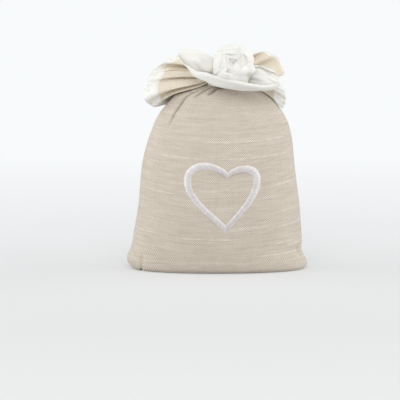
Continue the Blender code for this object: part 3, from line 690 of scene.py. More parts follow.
def lengths_uv(grid, wrap=False):
    """UV in metres: the mean length along the rows and down the columns of a grid."""
    if wrap:
        grid = np.concatenate([grid, grid[:, :1]], axis=1)
    across = np.linalg.norm(np.diff(grid, axis=1), axis=2).mean(axis=0)
    along = np.linalg.norm(np.diff(grid, axis=0), axis=2).mean(axis=1)
    u, v = np.meshgrid(np.append(0.0, np.cumsum(across)), np.append(0.0, np.cumsum(along)))
    return np.stack([u, v], axis=2)


def add_piece(name, points, quads, uv, material, attributes=None):
    """Adds a smooth mesh object at the origin from points, quads and UV, and welds its poles and seams."""
    mesh = bpy.data.meshes.new(name)
    mesh.vertices.add(len(points))
    mesh.vertices.foreach_set("co", points.astype(np.float32).ravel())
    mesh.loops.add(quads.size)
    mesh.loops.foreach_set("vertex_index", np.ascontiguousarray(quads, dtype=np.int32).ravel())
    mesh.polygons.add(len(quads))
    mesh.polygons.foreach_set("loop_start", np.arange(0, quads.size, 4, dtype=np.int32))
    mesh.update(calc_edges=True)
    layer = mesh.uv_layers.new(name="cloth")
    layer.uv.foreach_set("vector", np.ascontiguousarray(uv, dtype=np.float32).ravel())
    for label, values in (attributes or {}).items():
        held = mesh.attributes.new(label, "FLOAT", "POINT")
        held.data.foreach_set("value", values.astype(np.float32).ravel())
    shape = bmesh.new()
    shape.from_mesh(mesh)
    bmesh.ops.remove_doubles(shape, verts=shape.verts[:], dist=WELD_DISTANCE)
    shape.to_mesh(mesh)
    shape.free()
    mesh.shade_smooth()
    mesh.materials.append(material)
    item = bpy.data.objects.new(name, mesh)
    bpy.context.scene.collection.objects.link(item)
    return item


def add_grid(name, grid, material, wrap=False, flip=False, uv=None, attributes=None):
    """Adds a grid of points as one piece."""
    rows, columns = grid.shape[:2]
    uv = lengths_uv(grid, wrap) if uv is None else uv
    quads = grid_quads(rows, columns, wrap, flip)
    return add_piece(name, grid.reshape(-1, 3), quads, corner_uv(uv, flip), material, attributes)


def thicken(item, thickness, offset=0.0):
    """Gives a sheet its thickness: about its middle, or inwards where the offset is -1."""
    solid = item.modifiers.new("thickness", "SOLIDIFY")
    solid.thickness = thickness
    solid.offset = offset
    solid.use_even_offset = False
    return item


def close_ends(tube):
    """A tube's rings, with the middle of its first and last ring added as points that close it."""
    first, last = (np.repeat(tube[k].mean(axis=0)[None, None], tube.shape[1], axis=1) for k in (0, -1))
    return np.concatenate([first, tube, last])


def join_rings(grids, uvs):
    """Points, quads and corner UV of one mesh, from stacks of grids whose columns join round."""
    quads, first = [], 0
    for grid in grids:
        many, rows, columns = grid.shape[:3]
        starts = first + np.arange(many)[:, None, None] * rows * columns
        quads.append((grid_quads(rows, columns, wrap=True)[None] + starts).reshape(-1, 4))
        first += many * rows * columns
    quads = np.concatenate(quads)
    points = np.concatenate([grid.reshape(-1, 3) for grid in grids])
    uv = np.concatenate([flat.reshape(-1, 2) for flat in uvs])
    return points, quads, uv[quads].reshape(-1, 2)


def resample(line, count):
    """Points spaced evenly along a line."""
    place = run_along(line)
    wanted = np.linspace(0, place[-1], count)
    return np.stack([np.interp(wanted, place, line[:, k]) for k in range(line.shape[1])], axis=1)


def smooth_at(points, share):
    """Points at shares from 0 to 1 of a smooth cubic curve through the given points."""
    points = np.asarray(points, float)
    ends = 2 * points[[0, -1]] - points[[1, -2]]
    padded = np.concatenate([ends[:1], points, ends[1:]])
    place = np.clip(share, 0.0, 1.0) * (len(points) - 1)
    start = np.minimum(place.astype(int), len(points) - 2)
    t = (place - start)[..., None]
    a, b, c, d = (padded[start + k] for k in range(4))
    return 0.5 * (2 * b + (c - a) * t + (2 * a - 5 * b + 4 * c - d) * t**2 + (3 * b - a - 3 * c + d) * t**3)


def crumple(grid, depth, random, waves=7, most=2.6):
    """Moves a sheet's points along its normals by a sum of random plane waves, none at its root row."""
    v, u = shares(*grid.shape[:2])
    run = np.linalg.norm(np.diff(grid, axis=0), axis=2).sum(axis=0)
    depth = depth * np.minimum(run / run.mean(), 1.0) ** 2
    height = np.zeros_like(u)
    for _ in range(waves):
        across, along = random.uniform(-most, most), random.uniform(*CRUMPLE_ALONG) * most
        phase = random.uniform(0, 2 * np.pi)
        height += np.sin(2 * np.pi * (across * u + along * v) + phase)
    return grid + grid_normals(grid) * (depth * np.sqrt(2 / waves) * height * smooth_step(2 * v))[..., None]


def lump_up(grid, depth, pitch, random, waves=9):
    """Moves a grid's points along its normals by a sum of plane waves in random directions of space."""
    towards = unit(random.normal(size=(waves, 3))) * 2 * np.pi / pitch
    height = np.sin(grid @ towards.T + random.uniform(0, 2 * np.pi, waves)).sum(axis=-1)
    return grid + grid_normals(grid) * (depth * np.sqrt(2 / waves) * height)[..., None]


def roll_edge(grid, radius, turn, steps, way):
    """Rolls the last row on round a small circle: edge + r (sin t along the sheet + (1 - cos t) sideways).

    The turn is in degrees, and the roll thins out towards both ends of the edge.
    """
    along = unit(grid[-1] - grid[-2])
    side = way * grid_normals(grid)[-1]
    ends = np.sin(np.pi * np.linspace(0.0, 1.0, grid.shape[1])) ** 0.5
    size = (radius * (LIP_END + (1 - LIP_END) * ends))[:, None]
    angles = np.radians(np.linspace(0, turn, steps + 1))[1:, None, None]
    rolled = grid[-1] + size * (np.sin(angles) * along + (1 - np.cos(angles)) * side)
    return np.concatenate([grid, rolled])


def round_off(z, height, depth):
    """How far a quarter-round edge draws in at a height below its top."""
    below = np.clip(height - z, 0.0, height) / height
    return depth * (1 - np.sqrt(1 - below**2))


def dome(z, start, half_size, power):
    """Share of a half size left on the rounded shoulder, which closes to MOUTH_RADIUS at the neck."""
    at_neck = (1 - (MOUTH_RADIUS / half_size) ** power) ** (1 / power)
    share = np.clip(z - start, 0.0, None) / (NECK_HEIGHT - start) * at_neck
    return (1 - np.minimum(share, 1.0) ** power) ** (1 / power)


def dent(z, shapes):
    """How far a side draws in at a height: a sum of bell curves."""
    return sum(depth * bell(z - height, reach) for height, reach, depth in shapes)


def half_width(bag, z):
    """Half width of the bag at a height, without its corner ears."""
    side = (bag.side_width + (bag.shoulder_width - bag.side_width) * z / NECK_HEIGHT) / 2
    shoulder = dome(z, SHOULDER_START, bag.shoulder_width / 2, SHOULDER_POWER)
    drawn_in = (dent(z, LEFT_DENTS) + dent(z, RIGHT_DENTS)) / 2
    return side * shoulder - drawn_in - round_off(z, CORNER_HEIGHT, CORNER_ROUND)


def half_depth(bag, z):
    """Half depth of the bag at a height."""
    deep = bag.depth / 2 * dome(z, BELLY_HEIGHT, bag.depth / 2, BELLY_POWER)
    low = np.clip(1 - z / BELLY_HEIGHT, 0.0, 1.0)
    return deep - (bag.depth - bag.base_depth) / 2 * low**2 - round_off(z, EDGE_ROUND, EDGE_ROUND)


def centre_x(z):
    """Middle of the bag at a height: it leans a little to one side, and its sides draw in unevenly."""
    lean = LEAN * (np.clip(z, 0.0, None) / NECK_HEIGHT) ** LEAN_POWER
    return lean + (dent(z, LEFT_DENTS) - dent(z, RIGHT_DENTS)) / 2


def panel_depth(bag, turn, z):
    """Distance of a panel from the seam plane, for a turn from the panel's middle."""
    pinch = SIDE_PINCH + CORNER_PINCH * np.exp(-z / PINCH_REACH)
    return SEAM_HALF + (half_depth(bag, z) - SEAM_HALF) * np.maximum(np.cos(turn), 0.0) ** pinch


def front_y(bag, x, z):
    """Y of the front panel at a place."""
    turn = np.arcsin(np.clip((x - centre_x(z)) / half_width(bag, z), -1.0, 1.0))
    return -panel_depth(bag, turn, z)


def rest_height(bag, x, y, clearance):
    """Lowest height at which a point clears the bag's shoulder, found by halving."""
    low = np.full(np.shape(x), SHOULDER_START)
    high = np.full(np.shape(x), NECK_HEIGHT)

    def inside(z):
        wide = (x - centre_x(z)) / (half_width(bag, z) + clearance)
        deep = y / (half_depth(bag, z) + clearance)
        return wide**2 + deep**2 < 1

    reached = inside(low)
    for _ in range(HALVINGS):
        middle = (low + high) / 2
        within = inside(middle)
        low = np.where(within, middle, low)
        high = np.where(within, high, middle)
    return np.where(reached, low + clearance, -1.0)


def bag_levels(bag):
    """Heights of the grid's rows, evenly spaced along the bag's profile from floor to neck."""
    z = NECK_HEIGHT * (0.5 - 0.5 * np.cos(np.linspace(0, np.pi, PROFILE_POINTS)))
    profile = np.stack([half_width(bag, z), half_depth(bag, z), z], axis=1)
    return resample(profile, BAG_ROWS)[:, 2]


def crease_height(bag, turn, z, creases):
    """Height of the neck's creases: a groove with a soft ridge beside it, deepening towards the neck."""
    radius = (half_width(bag, z) + half_depth(bag, z)) / 2
    height = np.zeros_like(turn)
    for angle, lowest, depth, widest in creases:
        strength = np.clip((z - lowest) / (NECK_HEIGHT - lowest), 0.0, 1.0) ** CREASE_POWER
        width = widest * (CREASE_START_WIDTH + (1 - CREASE_START_WIDTH) * strength)
        across = (turn - math.radians(angle)) * radius
        ridge = RIDGE_HEIGHT * bell(across + RIDGE_AWAY * width, RIDGE_WIDTH * width)
        height += depth * strength * (ridge - bell(across, width))
    return height


def corner_height(x, z):
    """Height of the short creases at the bottom corners: -depth exp(-(distance / half width)^2)."""
    height = np.zeros_like(x)
    for start_x, start_z, end_x, end_z, depth, widest in CORNER_CREASES:
        run = np.array([end_x - start_x, end_z - start_z])
        share = np.clip(((x - start_x) * run[0] + (z - start_z) * run[1]) / (run @ run), 0.0, 1.0)
        away = np.hypot(x - start_x - share * run[0], z - start_z - share * run[1])
        height -= depth * bell(away, widest)
    return height


def lump_height(bag, x, z, level):
    """Height of the filling's lumps under the cloth: crossed waves that fade out below and above."""
    crossed = np.sin(LUMP_ACROSS[0] * x + LUMP_ACROSS[1]) * np.sin(LUMP_UP[0] * z + LUMP_UP[1])
    slanting = np.sin(LUMP_SLANT[0] * x + LUMP_SLANT[1] * z)
    fade = smooth_step(level / LUMP_FADE) * smooth_step((LUMP_TOP - level) / LUMP_FADE)
    return bag.lump * (crossed + slanting) * fade


def ears(bag, z, sine):
    """How far the bottom corners stand out sideways: a bell curve over the height, close to the seam."""
    left = bag.left_ear * bell(z - LEFT_EAR_HEIGHT, EAR_REACH) * np.maximum(-sine, 0) ** EAR_NARROW
    right = bag.right_ear * bell(z - RIGHT_EAR_HEIGHT, EAR_REACH) * np.maximum(sine, 0) ** EAR_NARROW
    return right - left


def slub_mask(u, levels, slubs, random):
    """How much of a thick weft yarn lies at each place: the known ones and fainter random ones.

    A yarn keeps to the grid's nearest row, swells along its length and thins out at both ends.
    """
    drawn = [(height, start, end, SLUB_STRENGTH) for height, start, end in slubs]
    for _ in range(FAINT_SLUBS):
        start = random.uniform(*FAINT_STARTS)
        end = start + random.uniform(*FAINT_LENGTHS)
        drawn.append((random.uniform(*FAINT_HEIGHTS), start, end, random.uniform(*FAINT_STRENGTHS)))
    mask = np.zeros((len(levels), len(u)))
    for height, start, end, strength in drawn:
        row = np.abs(levels - height).argmin()
        ends = smooth_step((u - start) / SLUB_END) * smooth_step((end - u) / SLUB_END)
        swell = 1 - SLUB_SWELL + SLUB_SWELL * np.sin(SLUB_WAVE * u + SLUB_PHASE * height)
        mask[row] = np.maximum(mask[row], strength * ends * swell)
    return mask


def bag_turns(creases):
    """Turns of the grid's columns from a panel's middle: even steps, with more columns at sharp creases."""
    sharp = [angle for angle, _, depth, _ in creases if depth > SHARP_CREASE]
    extra = np.add.outer(np.array(sharp), CREASE_COLUMNS).ravel()
    even = np.linspace(-90, 90, BAG_COLUMNS)
    apart = np.abs(np.subtract.outer(even, extra)).min(axis=1, initial=np.inf)
    return np.radians(np.sort(np.concatenate([even[apart > COLUMN_GAP], extra])))


def with_base(grid, u, mask):
    """Adds the rows of the flat base to a panel: they run from the bottom seam out to the panel's foot."""
    share = np.linspace(0, 1, FLOOR_ROWS, endpoint=False)[:, None]
    base = np.repeat(grid[:1], FLOOR_ROWS, axis=0)
    base[..., 1] = -SEAM_HALF + (grid[0, :, 1] + SEAM_HALF) * share
    base[..., 2] = 0.0
    u = np.concatenate([np.repeat(u[:1], FLOOR_ROWS, axis=0), u])
    mask = np.concatenate([np.zeros_like(base[..., 0]), mask])
    return np.concatenate([base, grid]), u, mask


def bag_grid(bag, face, creases, slubs, random):
    """One panel's outside as (grid, UV, slub mask). face is 1 in front and -1 behind.

    Rows follow the weft, which sags: z = level + sag (1 - (level / neck)^2) sin(turn)^2. Across a row
    x = lean + half width sin(turn), and y is the panel's depth. Lumps, creases and slubs lie on that.
    """
    levels = bag_levels(bag)
    level, turn = np.meshgrid(levels, bag_turns(creases), indexing="ij")
    sine = np.sin(turn)
    sag = bag.grain_sag * (1 - (level / NECK_HEIGHT) ** 2) * smooth_step(level / SAG_RISE)
    z = level + sag * sine**2
    depth = panel_depth(bag, turn, z)
    tuck = SEAM_TUCK * bell(depth, SEAM_TUCK_REACH) * np.sign(sine) * smooth_step(z / SEAM_TUCK_RISE)
    x = centre_x(z) + half_width(bag, z) * sine + ears(bag, z, sine) - tuck
    grid = np.stack([x, -depth, z], axis=2)
    belly_x = half_width(bag, BELLY_HEIGHT) * sine[0]
    belly = run_along(np.stack([belly_x, panel_depth(bag, turn[0], BELLY_HEIGHT)], axis=1))
    mask = slub_mask(belly - belly[-1] / 2, levels, slubs, random)
    height = lump_height(bag, x, z, level) * np.cos(turn) + bag.slub * mask
    height = height + crease_height(bag, turn, z, creases) + corner_height(x, z)
    grid = grid + grid_normals(grid) * height[..., None]
    grid[:, [0, -1], 1] = -SEAM_HALF
    steps = np.linalg.norm(np.diff(grid[..., :2], axis=1), axis=2)
    across = np.concatenate([np.zeros((len(levels), 1)), np.cumsum(steps, axis=1)], axis=1)
    u = (across / across[:, -1:] - 0.5) * belly[-1]
    grid, u, mask = with_base(grid, u, mask)
    v = run_along(grid[:, grid.shape[1] // 2])[:, None] + 0 * u
    return grid * np.array([1.0, face, 1.0]), np.stack([u, v], axis=2), mask


def bezier(a, b, c, d, t):
    """Points of a cubic curve."""
    a, b, c, d = (np.asarray(p)[None, :] for p in (a, b, c, d))
    t = t[:, None]
    return a * (1 - t) ** 3 + 3 * b * t * (1 - t) ** 2 + 3 * c * t**2 * (1 - t) + d * t**3


def heart_half_edge(heart, width, rise, side):
    """One edge of half a heart's band, from the notch to the tip, cut on the heart's axis.

    The band's middle is two cubic curves, over the lobe and down to the tip, moved sideways by half the
    band.
    """
    t = np.linspace(0, 1, HEART_CURVE)
    widest = (width, -HEART_WIDEST_DROP)
    start = (LOBE_START_WIDTH * width, LOBE_START_RISE * rise)
    lobe = bezier((0, 0), start, (width, LOBE_TOP_RISE * rise), widest, t)
    fall = HEART_LENGTH - HEART_WIDEST_DROP
    below = (width, -HEART_WIDEST_DROP - FLANK_START_FALL * fall)
    above_tip = (TIP_WIDTH * width, -HEART_LENGTH + TIP_FALL * fall)
    flank = bezier(widest, below, above_tip, (0, -HEART_LENGTH), t)
    line = resample(np.concatenate([lobe, flank[1:]]), HEART_LINE)
    along = unit(np.gradient(line, axis=0))
    outward = np.stack([-along[:, 1], along[:, 0]], axis=1)
    bands = (heart.notch_band, heart.band, heart.band, heart.tip_band, heart.tip_band)
    band = np.interp(np.linspace(0, 1, HEART_LINE), BAND_PLACES, bands)
    edge = line + side * outward * band[:, None] / 2
    reach = 2 * heart.band
    edge = np.concatenate([edge[:1] - reach * along[:1], edge, edge[-1:] + reach * along[-1:]])
    middle = len(edge) // 2
    first = np.nonzero(edge[:middle, 0] < 0)[0].max()
    last = middle + np.nonzero(edge[middle:, 0] < 0)[0].min()
    cuts = []
    for i in (first, last - 1):
        share = edge[i, 0] / (edge[i, 0] - edge[i + 1, 0])
        cuts.append(edge[i] + share * (edge[i + 1] - edge[i]))
    return resample(np.concatenate([cuts[:1], edge[first + 1 : last], cuts[1:]]), HEART_POINTS)


def heart_grid(heart, bag, random):
    """The heart's stitches as (grid, UV): rows run round the band and columns across it.

    Each stitch is a ridge across the band: its height falls off as 1 - |across|^round, times
    1 - ridge + ridge cos(turns of the stitch), and its ends are a little uneven. The last two columns lie
    under the band, in the cloth.
    """
    edges = []
    for side in (1, -1):
        right = heart_half_edge(heart, HEART_RIGHT_WIDTH, HEART_RIGHT_RISE, side)
        left = heart_half_edge(heart, HEART_LEFT_WIDTH, HEART_LEFT_RISE, side) * np.array([-1.0, 1.0])
        edges.append(np.concatenate([right, left[-2:0:-1]]))
    outer, inner = edges
    middle, half = (outer + inner) / 2, (outer - inner) / 2
    stitch = run_along(middle) / heart.pitch
    number = np.floor(stitch).astype(int)
    uneven = random.uniform(-1, 1, (2, number.max() + 2))
    across = np.linspace(-1, 1, STITCH_COLUMNS)
    reach = np.where(across > 0, uneven[0, number][:, None], uneven[1, number][:, None])
    reach = heart.raggedness * reach / np.linalg.norm(half, axis=1)[:, None]
    spread = across * (1 + reach * np.abs(across))
    flat = middle[:, None, :] + half[:, None, :] * spread[..., None]
    ridge = 1 - STITCH_RIDGE + STITCH_RIDGE * np.cos(2 * np.pi * stitch)[:, None]
    rounded = STITCH_EDGE + (1 - STITCH_EDGE) * (1 - np.abs(across) ** STITCH_ROUND)
    x = HEART_NOTCH_X + flat[..., 0] - HEART_TIP_SHIFT * flat[..., 1] / HEART_LENGTH
    z = HEART_NOTCH_Z + flat[..., 1]
    y = front_y(bag, x, z)
    top = np.stack([x, y - heart.height * rounded * ridge, z], axis=2)
    under = np.stack([x, y + STITCH_SINK, z], axis=2)[:, [-1, 0]]
    grid = np.concatenate([top, under], axis=1)
    turns = np.append(stitch, stitch[-1] + 1)
    width = np.concatenate([across, [STITCH_UNDER, -STITCH_UNDER], across[:1]])
    v, u = np.meshgrid(turns, width, indexing="ij")
    return np.concatenate([grid, grid[:1]]), np.stack([v, u], axis=2)


def ring_points(turn, radius, z):
    """Points round the neck's axis."""
    return np.stack([LEAN + radius * np.cos(turn), radius * np.sin(turn), z + 0 * turn], axis=-1)


def gather_grid():
    """The gathered neck: a barrel with uneven pleats and a slot in front, drawn in to the middle on top.

    Radius = neck radius - barrel level^2 - pleat depth (0.5 - 0.5 cos(pleats of a wavering turn)). The
    slot is a window where the knot runs. Its rims above and below are whole, and the flower's backing rests
    on them.
    """
    rows, columns = NECK_MESH
    turn = full_turn(columns)[None, :]
    level = np.linspace(-1, 1, rows)[:, None]
    waver = turn + sum(reach * np.sin(waves * turn + start) for reach, waves, start in PLEAT_WAVERS)
    pleat = PLEAT_DEPTH * (0.5 - 0.5 * np.cos(PLEATS * (waver + PLEAT_SLANT * level) + PLEAT_START))
    radius = NECK_RADIUS - NECK_BARREL * level**2 - pleat
    front = np.abs((turn + np.pi / 2 + np.pi) % (2 * np.pi) - np.pi)
    slot = smooth_step((SLOT_TURN - np.degrees(front)) / SLOT_TURN_EDGE)
    slot = slot * smooth_step((SLOT_LEVEL - np.abs(level)) / SLOT_LEVEL_EDGE)
    radius = radius * (1 - slot) + np.minimum(radius, SLOT_RADIUS) * slot
    z = CASING_LOW.z + CASING_HEIGHT * (0.5 + 0.5 * level)
    body = ring_points(turn + 0 * level, radius, z)
    inward = np.linspace(1, 0, NECK_TOP_ROWS)[1:, None]
    dimple = NECK_DIMPLE * np.sin(np.pi * inward) ** 2
    top = ring_points(turn + 0 * inward, radius[-1:] * inward, CASING_HIGH.z - dimple)
    outward = inward[::-1]
    foot = ring_points(turn + 0 * outward, radius[:1] * outward, CASING_LOW.z + 0 * outward)
    return np.concatenate([foot, body, top])


def tube_grid(path, radius, sides, closed):
    """A round tube along a path, as rings of points. The frame turns with the path's own bend."""
    if closed:
        ahead = np.roll(path, -1, axis=0) - np.roll(path, 1, axis=0)
        bend = np.roll(path, -1, axis=0) + np.roll(path, 1, axis=0) - 2 * path
    else:
        ahead = np.gradient(path, axis=0)
        bend = np.gradient(ahead, axis=0)
    ahead = unit(ahead)
    first = unit(bend - ahead * (bend * ahead).sum(axis=1, keepdims=True))
    second = np.cross(ahead, first)
    turn = full_turn(sides)[None, :, None]
    return path[:, None, :] + radius * (np.cos(turn) * first[:, None] + np.sin(turn) * second[:, None])


def root_line(frill, across):
    """Where a frill starts: an arc at the neck's side, or the back half of the neck's top edge."""
    if frill.side:
        angle = np.radians(WING_ROOT_ANGLES[0] + np.ptp(WING_ROOT_ANGLES) * across)
        radius = NECK_RADIUS - ROOT_SINK
        y = WING_ROOT_DEPTHS[0] + np.ptp(WING_ROOT_DEPTHS) * across
        return HINGE + np.stack([frill.side * radius * np.cos(angle), y, radius * np.sin(angle)], axis=-1)
    turn = np.radians(BACK_ROOT_ANGLES[0] + np.ptp(BACK_ROOT_ANGLES) * across)
    return ring_points(turn, NECK_RADIUS - 2 * ROOT_SINK, CASING_HIGH.z - ROOT_SINK)


def fan(frill, sizes, bag, across, share):
    """Points of a fanned frill: root + (rim - root) share, with folds that stand forward across it.

    The share runs from 0 at the neck to 1 at the lace's edge. A fold's depth goes with
    sin(pi share^power) + rim share, so it is sharpest near the neck, and it droops a little. Towards its
    first edge a frill may swell outwards or arch up. Where the cloth would sink into the shoulder it lies
    on the shoulder instead.
    """
    root = root_line(frill, across)
    rim = smooth_at(frill.rim, across) + NECK
    grid = root + (rim - root) * share[..., None]
    inside = np.clip(share, 0, 1)
    belly = np.sin(np.pi * inside)
    edge = np.clip(1 - across / SWELL_REACH, 0, 1) ** 2
    grid += np.asarray(frill.swell) * (belly * edge)[..., None]
    forward = FOLD_UNIT * sizes.folds * smooth_at(np.asarray(frill.folds)[:, None], across)[..., 0]
    forward = forward * (np.sin(np.pi * inside**FOLD_POWER) + FOLD_RIM * share)
    ripple = share * np.sin(2 * np.pi * (RIPPLES * across + RIPPLE_SLANT * share))
    grid[..., 1] -= forward + sizes.ripple_depth * ripple
    arch = frill.arch * (1 - smooth_step(across)) * np.sin(np.pi * inside**ARCH_POWER)
    grid[..., 2] += FRILL_BELLY * belly + arch - FOLD_DROOP * np.maximum(forward, 0)
    clear = rest_height(bag, grid[..., 0], grid[..., 1], FRILL_CLEARANCE)
    grid[..., 2] = np.maximum(grid[..., 2], clear)
    return grid


def lace_width(frill, across):
    """Width of the lace that shows. Towards a frill's first edge it may slip under the cloth."""
    return frill.lace * (1 - frill.tuck * (1 - smooth_step(across / LACE_TUCK_REACH)))


def lace_start(frill, sizes, bag, across):
    """Share of the way from the neck to the edge at which the lace is sewn on."""
    edge = fan(frill, sizes, bag, across, np.ones_like(across))
    return 1 - lace_width(frill, across) / np.linalg.norm(edge - root_line(frill, across), axis=-1)


def frill_grid(frill, sizes, bag):
    """The frill's cloth, from the neck to just under the lace, with a low ridge where the lace is sewn."""
    share, across = shares(FRILL_ROWS, frill.columns)
    start = lace_start(frill, sizes, bag, across)
    width = lace_width(frill, across)
    end = start + (1 - start) * SEAM_LAP / width
    grid = fan(frill, sizes, bag, across, share * end)
    away = (1 - share) * width / (1 - start) * end
    return grid + grid_normals(grid) * (HEM_RIDGE * bell(away, HEM_REACH))[..., None]


def lace_spots(frill, sizes, bag):
    """A function from (length along the lace, share of its width) to points on the lace, and its length."""
    across = np.linspace(0, 1, LACE_POINTS)
    middle = fan(frill, sizes, bag, across, (1 + lace_start(frill, sizes, bag, across)) / 2)
    run = run_along(middle)

    def spot(along, width):
        place = np.interp(along, run, across)
        start = lace_start(frill, sizes, bag, place)
        return fan(frill, sizes, bag, place, start + width * (1 - start))

    return spot, run[-1]


def lace_rows(sizes, run):
    """The lace's rows of holes: small ones beside the seam, and eyelets outside them."""
    count = max(2, round(run / sizes.eyelet_pitch))
    beading = HoleRow(2 * count, BEADING_SHARE / 2, BEADING_SHARE, sizes.beading_radius, BEADING_POINTS)
    eyelets = HoleRow(count, (1 + BEADING_SHARE) / 2, 1 - BEADING_SHARE, sizes.eyelet_radius, EYELET_POINTS)
    return beading, eyelets


def cell_middles(row, run):
    """Lengths along the lace at which a row's cells have their middles."""
    return (np.arange(row.cells) + 0.5) * run / row.cells


def holed_cell(radius, size, per_side):
    """A flat cell with a round hole, as rings of points from its square border to the hole."""
    side = np.linspace(-0.5, 0.5, per_side, endpoint=False)
    low, high = np.full(per_side, -0.5), np.full(per_side, 0.5)
    corners = ((side, low), (high, side), (-side, high), (low, -side))
    border = np.concatenate([np.stack(pair, axis=1) for pair in corners]) * np.asarray(size)
    hole = radius * unit(border)
    share = np.array(HOLE_RINGS)[:, None, None]
    return border * (1 - share) + hole * share


def lace_mesh(frill, sizes, bag):
    """The lace band's points, quads and UV: a row of small holes, a row of eyelets and a scalloped edge."""
    spot, run = lace_spots(frill, sizes, bag)
    rows = lace_rows(sizes, run)
    pitch = run / rows[-1].cells
    grids, uvs = [], []
    for row in rows:
        rings = holed_cell(row.radius, (run / row.cells, row.height * frill.lace), row.per_side)
        along = cell_middles(row, run)[:, None, None] + rings[None, ..., 0]
        width = np.broadcast_to(row.middle + rings[None, ..., 1] / frill.lace, along.shape)
        scallop = sizes.scallop / frill.lace * (np.abs(np.sin(np.pi * along / pitch)) - 1)
        width = width + scallop * smooth_step((width - SCALLOP_START) / (1 - SCALLOP_START))
        grids.append(spot(along, width))
        uvs.append(np.stack([along, width * frill.lace], axis=-1))
    return join_rings(grids, uvs)


def eyelet_mesh(frill, sizes, bag):
    """Thread rings sewn round the eyelets and the small holes, as many small tori on the lace."""
    spot, run = lace_spots(frill, sizes, bag)
    turns, sides = THREAD_MESH
    turn, section = full_turn(turns), full_turn(sides)[:, None]
    thread = sizes.thread / 2
    grids = []
    for row in lace_rows(sizes, run):
        ring = row.radius + thread
        along = cell_middles(row, run)[:, None] + ring * np.cos(turn)
        width = np.broadcast_to(row.middle + ring * np.sin(turn) / frill.lace, along.shape)
        path = spot(along, width)
        out = unit(path - path.mean(axis=1, keepdims=True))
        normal = unit(np.cross(out, np.roll(out, -1, axis=1)))
        round_path = np.cos(section) * out[:, :, None] + np.sin(section) * normal[:, :, None]
        rim = path[:, :, None] + thread * round_path
        grids.append(np.concatenate([rim, rim[:, :1]], axis=1))
    return join_rings(grids, [grid[..., [0, 2]] for grid in grids])


def rose_points(turn, radius, rise):
    """Points of the rose from a turn about its axis, a radius and a rise along the axis."""
    tilt = math.radians(ROSE_TILT)
    base = NECK + np.array([ROSE_X, BACKING_LOW.y - ROSE_STANDOFF, ROSE_Z])
    axis = np.array([0.0, -math.cos(tilt), math.sin(tilt)])
    up = np.array([0.0, math.sin(tilt), math.cos(tilt)])
    spoke = np.cos(turn)[..., None] * np.array([1.0, 0.0, 0.0]) + np.sin(turn)[..., None] * up
    return base + radius[..., None] * spoke + rise[..., None] * axis


def loft_grid(curves, bulge, flower, random, way):
    """A loose petal between two or three guide curves, bulged to the front, crumpled and with a rolled lip.

    Between two curves it is straight, and through three it is a parabola.
    """
    rows, columns = LEAF_MESH
    lines = [smooth_at(points, np.linspace(0, 1, columns)) + NECK for points in curves]
    rise = np.linspace(0, 1, rows)[:, None, None]
    if len(lines) == 2:
        grid = lines[0] * (1 - rise) + lines[1] * rise
    else:
        low, middle, high = lines
        steer = 2 * middle - (low + high) / 2
        grid = low * (1 - rise) ** 2 + steer * 2 * rise * (1 - rise) + high * rise**2
    grid[..., 1] -= bulge * np.sin(np.pi * rise[..., 0])
    grid = crumple(grid, flower.crumple, random)
    return roll_edge(grid, flower.lip, LIP_TURN, LIP_STEPS, way)


def dome_points(turn, climb, lift):
    """Points on the rose's dome: radius R cos(a)^p and rise H sin(a)^p, with a a share of a right angle."""
    angle = np.pi / 2 * climb
    radius = (ROSE_RADIUS + lift) * np.cos(angle) ** ROSE_ROUND
    grid = rose_points(turn, radius, (ROSE_RISE + lift) * np.sin(angle) ** ROSE_ROUND)
    return lump_up(grid, ROSE_LUMP, ROSE_LUMP_PITCH, np.random.default_rng(RANDOM_SEED + 3))


def petal_grid(flower, layer, k, random):
    """A rose petal: it climbs the dome, laps over the next one's start, flares and has a rolled rim."""
    rise, wind = shares(*PETAL_MESH)
    start = k + PETAL_LAYER_TURN * layer + random.uniform(-PETAL_JITTER, PETAL_JITTER)
    turn = 2 * np.pi / PETALS_PER_LAYER[layer] * (start + PETAL_OVERLAP * wind)
    low, high = PETAL_SPANS[layer]
    high = high * random.uniform(*PETAL_HEIGHTS)
    phase = random.uniform(0, 2 * np.pi, 2)
    flare = PETAL_FLARE * random.uniform(*PETAL_FLARES)
    tip = 1 - PETAL_EDGE_DROP * np.abs(2 * wind - 1) ** PETAL_EDGE_POWER
    tip = tip * (1 + PETAL_TIP_WAVE * np.sin(2 * np.pi * wind + phase[0]))
    lift = PETAL_SPACING * (layer + PETAL_LAP * wind) + flare * rise**3
    lift = lift + PETAL_WAVE * rise**2 * np.sin(2 * np.pi * PETAL_WAVES * wind + phase[1])
    grid = dome_points(turn, low + (high - low) * tip * rise, lift)
    return roll_edge(grid, flower.rim, RIM_TURN, RIM_STEPS, -1)


def plug(tree, node, values):
    """Fills a node's inputs. Each value is another node's output or a plain value."""
    for key, value in values.items():
        if isinstance(value, bpy.types.NodeSocket):
            tree.links.new(value, node.inputs[key])
        else:
            node.inputs[key].default_value = value


def add_node(tree, kind, values=None, **settings):
    """Adds a node with its settings, and fills its inputs."""
    made = tree.nodes.new(kind)
    for key, value in settings.items():
        setattr(made, key, value)
    plug(tree, made, values or {})
    return made


def calc(tree, operation, *values):
    """The output of a Math node."""
    return add_node(tree, "ShaderNodeMath", dict(enumerate(values)), operation=operation).outputs[0]


def vector_calc(tree, operation, values):
    """The output of a Vector Math node."""
    return add_node(tree, "ShaderNodeVectorMath", values, operation=operation).outputs[0]


def split(tree, vector):
    """The three parts of a vector."""
    return add_node(tree, "ShaderNodeSeparateXYZ", {0: vector}).outputs


def noise(tree, place, scale, detail):
    """The outputs of a Noise Texture node."""
    values = {"Vector": place, "Scale": scale, "Detail": detail}
    return add_node(tree, "ShaderNodeTexNoise", values).outputs


def own_value(tree, number):
    """A random value that belongs to a whole number."""
    return add_node(tree, "ShaderNodeTexWhiteNoise", {"W": number}, noise_dimensions="1D").outputs["Value"]


